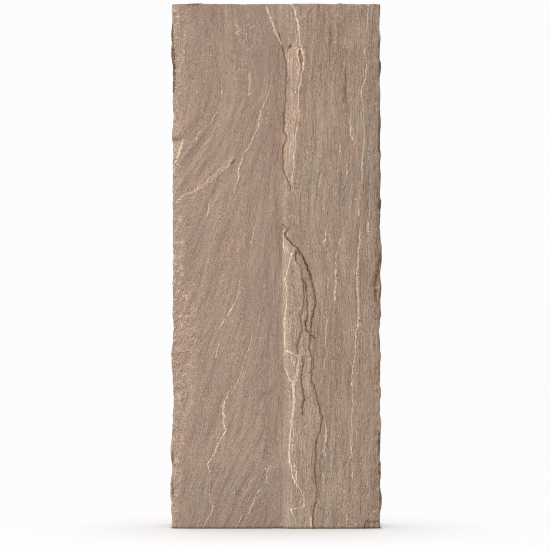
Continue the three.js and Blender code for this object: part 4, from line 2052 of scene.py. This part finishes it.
@dataclass
class Studio:
    """Pale floor, soft light and a level camera with a long lens."""

    lens: float = 165.0
    sensor: float = 36.0
    span: float = 0.5237
    aim_x: float = -0.0014
    aim_z: float = 0.2420
    floor_size: float = 40.0
    floor_tint: Tint = Tint(252, 252, 252)
    sky_seen: float = 0.979
    sky_light: float = 0.16
    filter_width: float = 1.0
    post_suns: tuple[Sun, ...] = (
        Sun("key", (-0.62, -0.55, 0.56), strength=2.6, angle=14),
        Sun("dome", (0, 0, 1), strength=1.7, angle=180),
        Sun("back", (0.6, 0.8, 0.5), strength=0.9, angle=30),
    )
    floor_suns: tuple[Sun, ...] = (
        Sun("overhead", (0, 0.06, 1), strength=1.75, angle=30),
        Sun("fill", (0, 0, 1), strength=0.9, angle=1),
    )

    def build(self, piece: bpy.types.Object) -> None:
        """Makes the floor, the lights and the camera.

        Args:
            piece: The post, which some of the suns light alone.
        """
        floor = self._floor()
        self._sky()
        for sun in self.post_suns:
            sun.build(piece)
        for sun in self.floor_suns:
            sun.build(floor)
        self._camera()
        bpy.context.scene.view_settings.view_transform = "Standard"
        bpy.context.scene.cycles.filter_width = self.filter_width

    def _floor(self) -> bpy.types.Object:
        """Adds the floor.

        Returns:
            The floor.
        """
        bpy.ops.object.select_all(action="DESELECT")
        bpy.ops.mesh.primitive_plane_add(size=self.floor_size, location=(0, 0, 0))
        floor = bpy.context.object
        floor.name = "floor"
        floor.visible_diffuse = False
        floor.visible_glossy = False
        paint = bpy.data.materials.new("pale_floor")
        paint.use_nodes = True
        shader = paint.node_tree.nodes["Principled BSDF"]
        shader.inputs["Base Color"].default_value = self.floor_tint.linear()
        shader.inputs["Roughness"].default_value = 1.0
        shader.inputs["Specular IOR Level"].default_value = 0.0
        floor.data.materials.append(paint)
        return floor

    def _sky(self) -> None:
        """Makes the world: near white where it is seen, dimmer as a light."""
        world = bpy.data.worlds.new("studio")
        bpy.context.scene.world = world
        world.use_nodes = True
        world.node_tree.nodes.clear()
        board = Board(world.node_tree)
        seen = board.wire(board.node("ShaderNodeLightPath", {}, {}), "Is Camera Ray")
        strength = seen * (self.sky_seen - self.sky_light) + self.sky_light
        sky = board.node("ShaderNodeBackground", {}, {"Color": (1, 1, 1, 1), "Strength": strength})
        board.node("ShaderNodeOutputWorld", {}, {0: board.wire(sky)})

    def _camera(self) -> None:
        """Adds the level camera in front of the post."""
        low, _ = CAD_BOX
        distance = self.lens * self.span / self.sensor
        data = bpy.data.cameras.new("camera")
        data.lens = self.lens
        data.sensor_width = self.sensor
        data.clip_end = 100
        camera = bpy.data.objects.new("camera", data)
        camera.location = (self.aim_x, low.y - distance, self.aim_z)
        camera.rotation_euler = (math.radians(90), 0, 0)
        bpy.context.scene.collection.objects.link(camera)
        bpy.context.scene.camera = camera


def main() -> None:
    """Builds the post and its studio."""
    logging.basicConfig(level=logging.INFO, format="%(name)s: %(message)s")
    post = StonePost().build()
    LOG.info("%s: %d faces", post.name, len(post.data.polygons))
    Studio().build(post)
    LOG.info("studio: floor, lights and camera")


if __name__ == "__main__":
    main()
